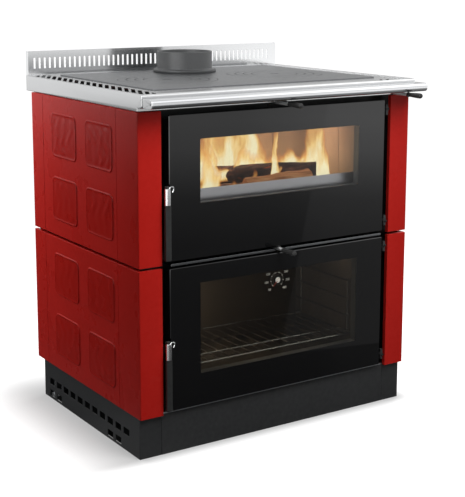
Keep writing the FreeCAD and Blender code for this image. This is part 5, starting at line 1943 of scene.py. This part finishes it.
def inner_lamp(name: str, where: Vector, power: float, colour: Triple, radius: float) -> None:
    """Adds a small warm lamp inside the cooker.

    Args:
        name: the lamp's name.
        where: its place in metres.
        power: its power in watts.
        colour: its colour.
        radius: its radius in metres.
    """
    data = bpy.data.lights.new(name, "POINT")
    data.energy = power
    data.color = colour
    data.shadow_soft_size = radius
    lamp = to_object(name, data)
    lamp.location = where
    lamp.visible_camera = lamp.visible_transmission = lamp.visible_glossy = False


@dataclass
class FireBox:
    """The fire box: its shell, brick lining, baffle, grate, drawer and log guard."""

    joint: float = 1.6
    rounding: float = 1.8
    guard_bow: float = 2.2
    columns: dict[str, int] = field(default_factory=lambda: {
        "left_firebrick": 3, "right_firebrick": 3, "rear_firebrick": 4})

    def build(self) -> None:
        """Builds the lining brick by brick and finishes the iron and steel round it."""
        for node, count in self.columns.items():
            self.bricks(node, count)
        softened("baffle", Group.COOKER, Slot.FIREBRICK, Finishes.BRICK, 1.5)
        softened("fire_grate", Group.COOKER, Slot.GRATE_IRON, Finishes.GRATE, 0.8)
        softened("ash_drawer", Group.COOKER, Slot.BLACK_STEEL, Finishes.BLACK, 0.5)
        self.guard()
        softened("firebox_shell", Group.COOKER, Slot.FLUE_BOX, Finishes.FLUE_BOX, 0.5)
        refinish(Finishes.SOOT, "flue_damper")

    def guard(self) -> None:
        """Presses the log guard into a shallow arch that bulges to the front."""
        low, high = millimetres("log_guard")
        half = (high.z - low.z) / 2
        steps = [math.sin(math.radians(-90 + 180 * step / 16)) for step in range(17)]
        bow = [(high.y - 0.8 - self.guard_bow * (1 - share ** 2), low.z + half * (1 + share))
               for share in steps]
        back = [(min(y + 0.8, high.y), z) for y, z in reversed(bow)]
        bm = bmesh.new()
        ends = [[bm.verts.new(place(x, y, z)) for y, z in bow + back] for x in (low.x, high.x)]
        count = len(ends[0])
        for step in range(count):
            following = (step + 1) % count
            bm.faces.new((ends[0][step], ends[1][step], ends[1][following], ends[0][following]))
        for end in ends:
            bm.faces.new(end)
        piece = shape("log_guard_pressed", bm, Finishes.GUARD, 50.0, True)
        fit(piece, Group.COOKER, Slot.STAINLESS, "log_guard")

    def bricks(self, node: str, count: int) -> None:
        """Builds one wall of the lining as a row of bricks with open joints.

        Args:
            node: the wall's CAD node.
            count: how many bricks it has.
        """
        low, high = millimetres(node)
        along = 0 if high.x - low.x > high.y - low.y else 1
        step = (high[along] - low[along]) / count
        bm = bmesh.new()
        for number in range(count):
            start, end = low.copy(), high.copy()
            start[along] = low[along] + number * step + (self.joint / 2 if number else 0.0)
            last = number == count - 1
            end[along] = low[along] + (number + 1) * step - (0.0 if last else self.joint / 2)
            block(bm, place(*start), place(*end), self.rounding * MM)
        piece = shape(f"{node}_lining", bm, Finishes.BRICK, 40.0)
        fit(piece, Group.COOKER, Slot.FIREBRICK, node)


@dataclass
class Fire:
    """The wood fire that burns in the chamber: logs, embers, flames and their light."""

    floor_z: float = 560.0
    log_steps: int = 32
    log_sides: int = 40
    ember_count: int = 90
    half_width: float = 235.0
    sheet_columns: int = 24
    sheet_heights: Span = (566.0, 758.0)
    glow: Triple = (1.0, 0.78, 0.6)
    lamps: tuple[tuple[str, Triple, float], ...] = (
        ("left", (-150.0, 200.0, 690.0), 0.6), ("middle", (-30.0, 250.0, 705.0), 0.8),
        ("right", (130.0, 240.0, 705.0), 0.55))
    logs: tuple[tuple[Triple, Triple, float], ...] = (
        ((-150.0, 275.0, 628.0), (165.0, 140.0, 624.0), 29.0),
        ((-215.0, 200.0, 596.0), (-60.0, 150.0, 592.0), 24.0))
    split_log: tuple[Triple, Triple, float] = ((-75.0, 92.0, 598.0), (128.0, 118.0, 606.0), 35.0)
    flames: tuple[tuple[float, float, float, tuple[Span, ...]], ...] = (
        (290.0, 0.585, 0.0, ((-250, 120), (-130, 150), (-80, 230), (-20, 250), (30, 235),
                             (60, 120), (90, 70), (130, 90), (160, 60), (200, 90), (250, 40))),
        (215.0, 0.63, 3.1, ((-250, 60), (-125, 90), (-100, 20), (-60, 15), (-35, 70), (30, 40),
                            (80, 30),
                            (110, 50), (150, 30), (180, 70), (210, 20))),
        (175.0, 0.585, 7.7, ((-250, 10), (120, 10), (142, 110), (160, 215), (190, 230),
                             (212, 120), (228, 10))),
        (120.0, 0.585, 5.2, ((-250, 60), (-190, 70), (-165, 150), (-138, 80), (-118, 30),
                             (-48, 45), (-38, 20), (-24, 65), (-10, 14), (14, 12), (22, 190),
                             (34, 190), (44, 12), (200, 8))))

    def build(self) -> None:
        """Builds the logs, the ember bed, the flames and the lamps."""
        wood = Wood("burning_wood", glow=0.3)
        for number, (start, end, radius) in enumerate(self.logs):
            self.log(f"log_{number}", start, end, radius, wood)
        start, end, radius = self.split_log
        fresh = Wood("split_wood", glow=0.0, tones=("7E4A2E", "C07E52", "DCA478"), charred=0.9)
        self.log("split_log", start, end, radius, fresh)
        self.embers()
        for number, (y, base, shift, crest) in enumerate(self.flames):
            self.sheet(number, y, Flame(f"flame_{number}", base=base, crest=crest, shift=shift))
        for name, where, power in self.lamps:
            inner_lamp(f"fire_glow_{name}", place(*where), power, self.glow, 0.05)

    def log(self, name: str, start: Triple, end: Triple, radius: float, wood: Finish) -> None:
        """Builds a split log with rough bark.

        Args:
            name: the log's name.
            start: the middle of one end.
            end: the middle of the other end.
            radius: its radius.
            wood: its finish.
        """
        first, last = place(*start), place(*end)
        line = last - first
        turn = line.to_track_quat("Z", "Y").to_matrix()
        bm = bmesh.new()
        rings = []
        for step in range(self.log_steps + 1):
            ring = []
            for side in range(self.log_sides):
                angle = math.tau * side / self.log_sides
                rough = 1.0 + 0.16 * noise.noise(Vector((
                    math.cos(angle) * 1.4, math.sin(angle) * 1.4, step * 0.07 + radius)))
                rough += 0.05 * noise.noise(Vector((math.cos(angle) * 6, math.sin(angle) * 6,
                                                    step * 0.3)))
                flat = min(1.0, 0.72 / max(0.4, abs(math.cos(angle - 0.9))) if math.cos(
                    angle - 0.9) > 0 else 1.0)
                point = Vector((math.cos(angle), math.sin(angle), 0)) * radius * rough * flat * MM
                ring.append(bm.verts.new(first + line * (step / self.log_steps) + turn @ point))
            rings.append(ring)
        for one, two in zip(rings, rings[1:]):
            bridged(bm, one, two)
        bm.faces.new(list(reversed(rings[0])))
        bm.faces.new(rings[-1])
        piece = shape(name, bm, wood, 50.0, True)
        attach(piece, Group.COOKER.value)

    def embers(self) -> None:
        """Heaps the embers on the grate."""
        glow = Wood("glowing_embers", glow=3.0)
        draw = random.Random(SEED)
        bm = bmesh.new()
        for _ in range(self.ember_count):
            x, y = draw.uniform(-200, 200), draw.uniform(90, 340)
            radius = draw.uniform(7, 17)
            centre = place(x, y, self.floor_z + 6 + draw.uniform(0, 16))
            lump = bmesh.ops.create_icosphere(bm, subdivisions=1, radius=radius * MM)["verts"]
            for vert in lump:
                vert.co = centre + vert.co * draw.uniform(0.75, 1.25)
        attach(shape("embers", bm, glow, 20.0), Group.COOKER.value)

    def sheet(self, number: int, y: float, finish: Finish) -> None:
        """Hangs one curved sheet of flame.

        Args:
            number: the sheet's number.
            y: its distance behind the front face.
            finish: its flames.
        """
        bm = bmesh.new()
        wide, columns = self.half_width, self.sheet_columns
        for column in range(columns + 1):
            x = -wide + 2 * wide * column / columns
            back = y + 12 * math.sin(x / 60 + number)
            for height in self.sheet_heights:
                bm.verts.new(place(x, back, height))
        bm.verts.ensure_lookup_table()
        for column in range(columns):
            i = 2 * column
            bm.faces.new([bm.verts[k] for k in (i, i + 2, i + 3, i + 1)])
        piece = shape(f"flame_sheet_{number}", bm, finish)
        piece.visible_shadow = False
        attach(piece, Group.COOKER.value)


def main() -> None:
    """Builds the scene in order."""
    logging.basicConfig(level=logging.INFO, format="%(name)s: %(message)s")
    photographer = Photographer()
    photographer.build()
    Studio().build(photographer)
    Casing().build()
    Plinth().build()
    Worktop().build()
    Hob().build()
    Front().build()
    Door(DoorKind.FIRE, Group.FIRE_DOOR, Group.FIRE_HANDLE, (598.975, 749.0)).build()
    Door(DoorKind.OVEN, Group.OVEN_DOOR, Group.OVEN_HANDLE, (187.0, 407.975)).build()
    Thermometer().build()
    for name, group in (("top_air", Group.TOP_AIR), ("low_air", Group.LOW_AIR),
                        ("damper", Group.DAMPER_PULL)):
        PullRod(name, group).build()
    Oven().build()
    FireBox().build()
    Fire().build()


if __name__ == "__main__":
    main()
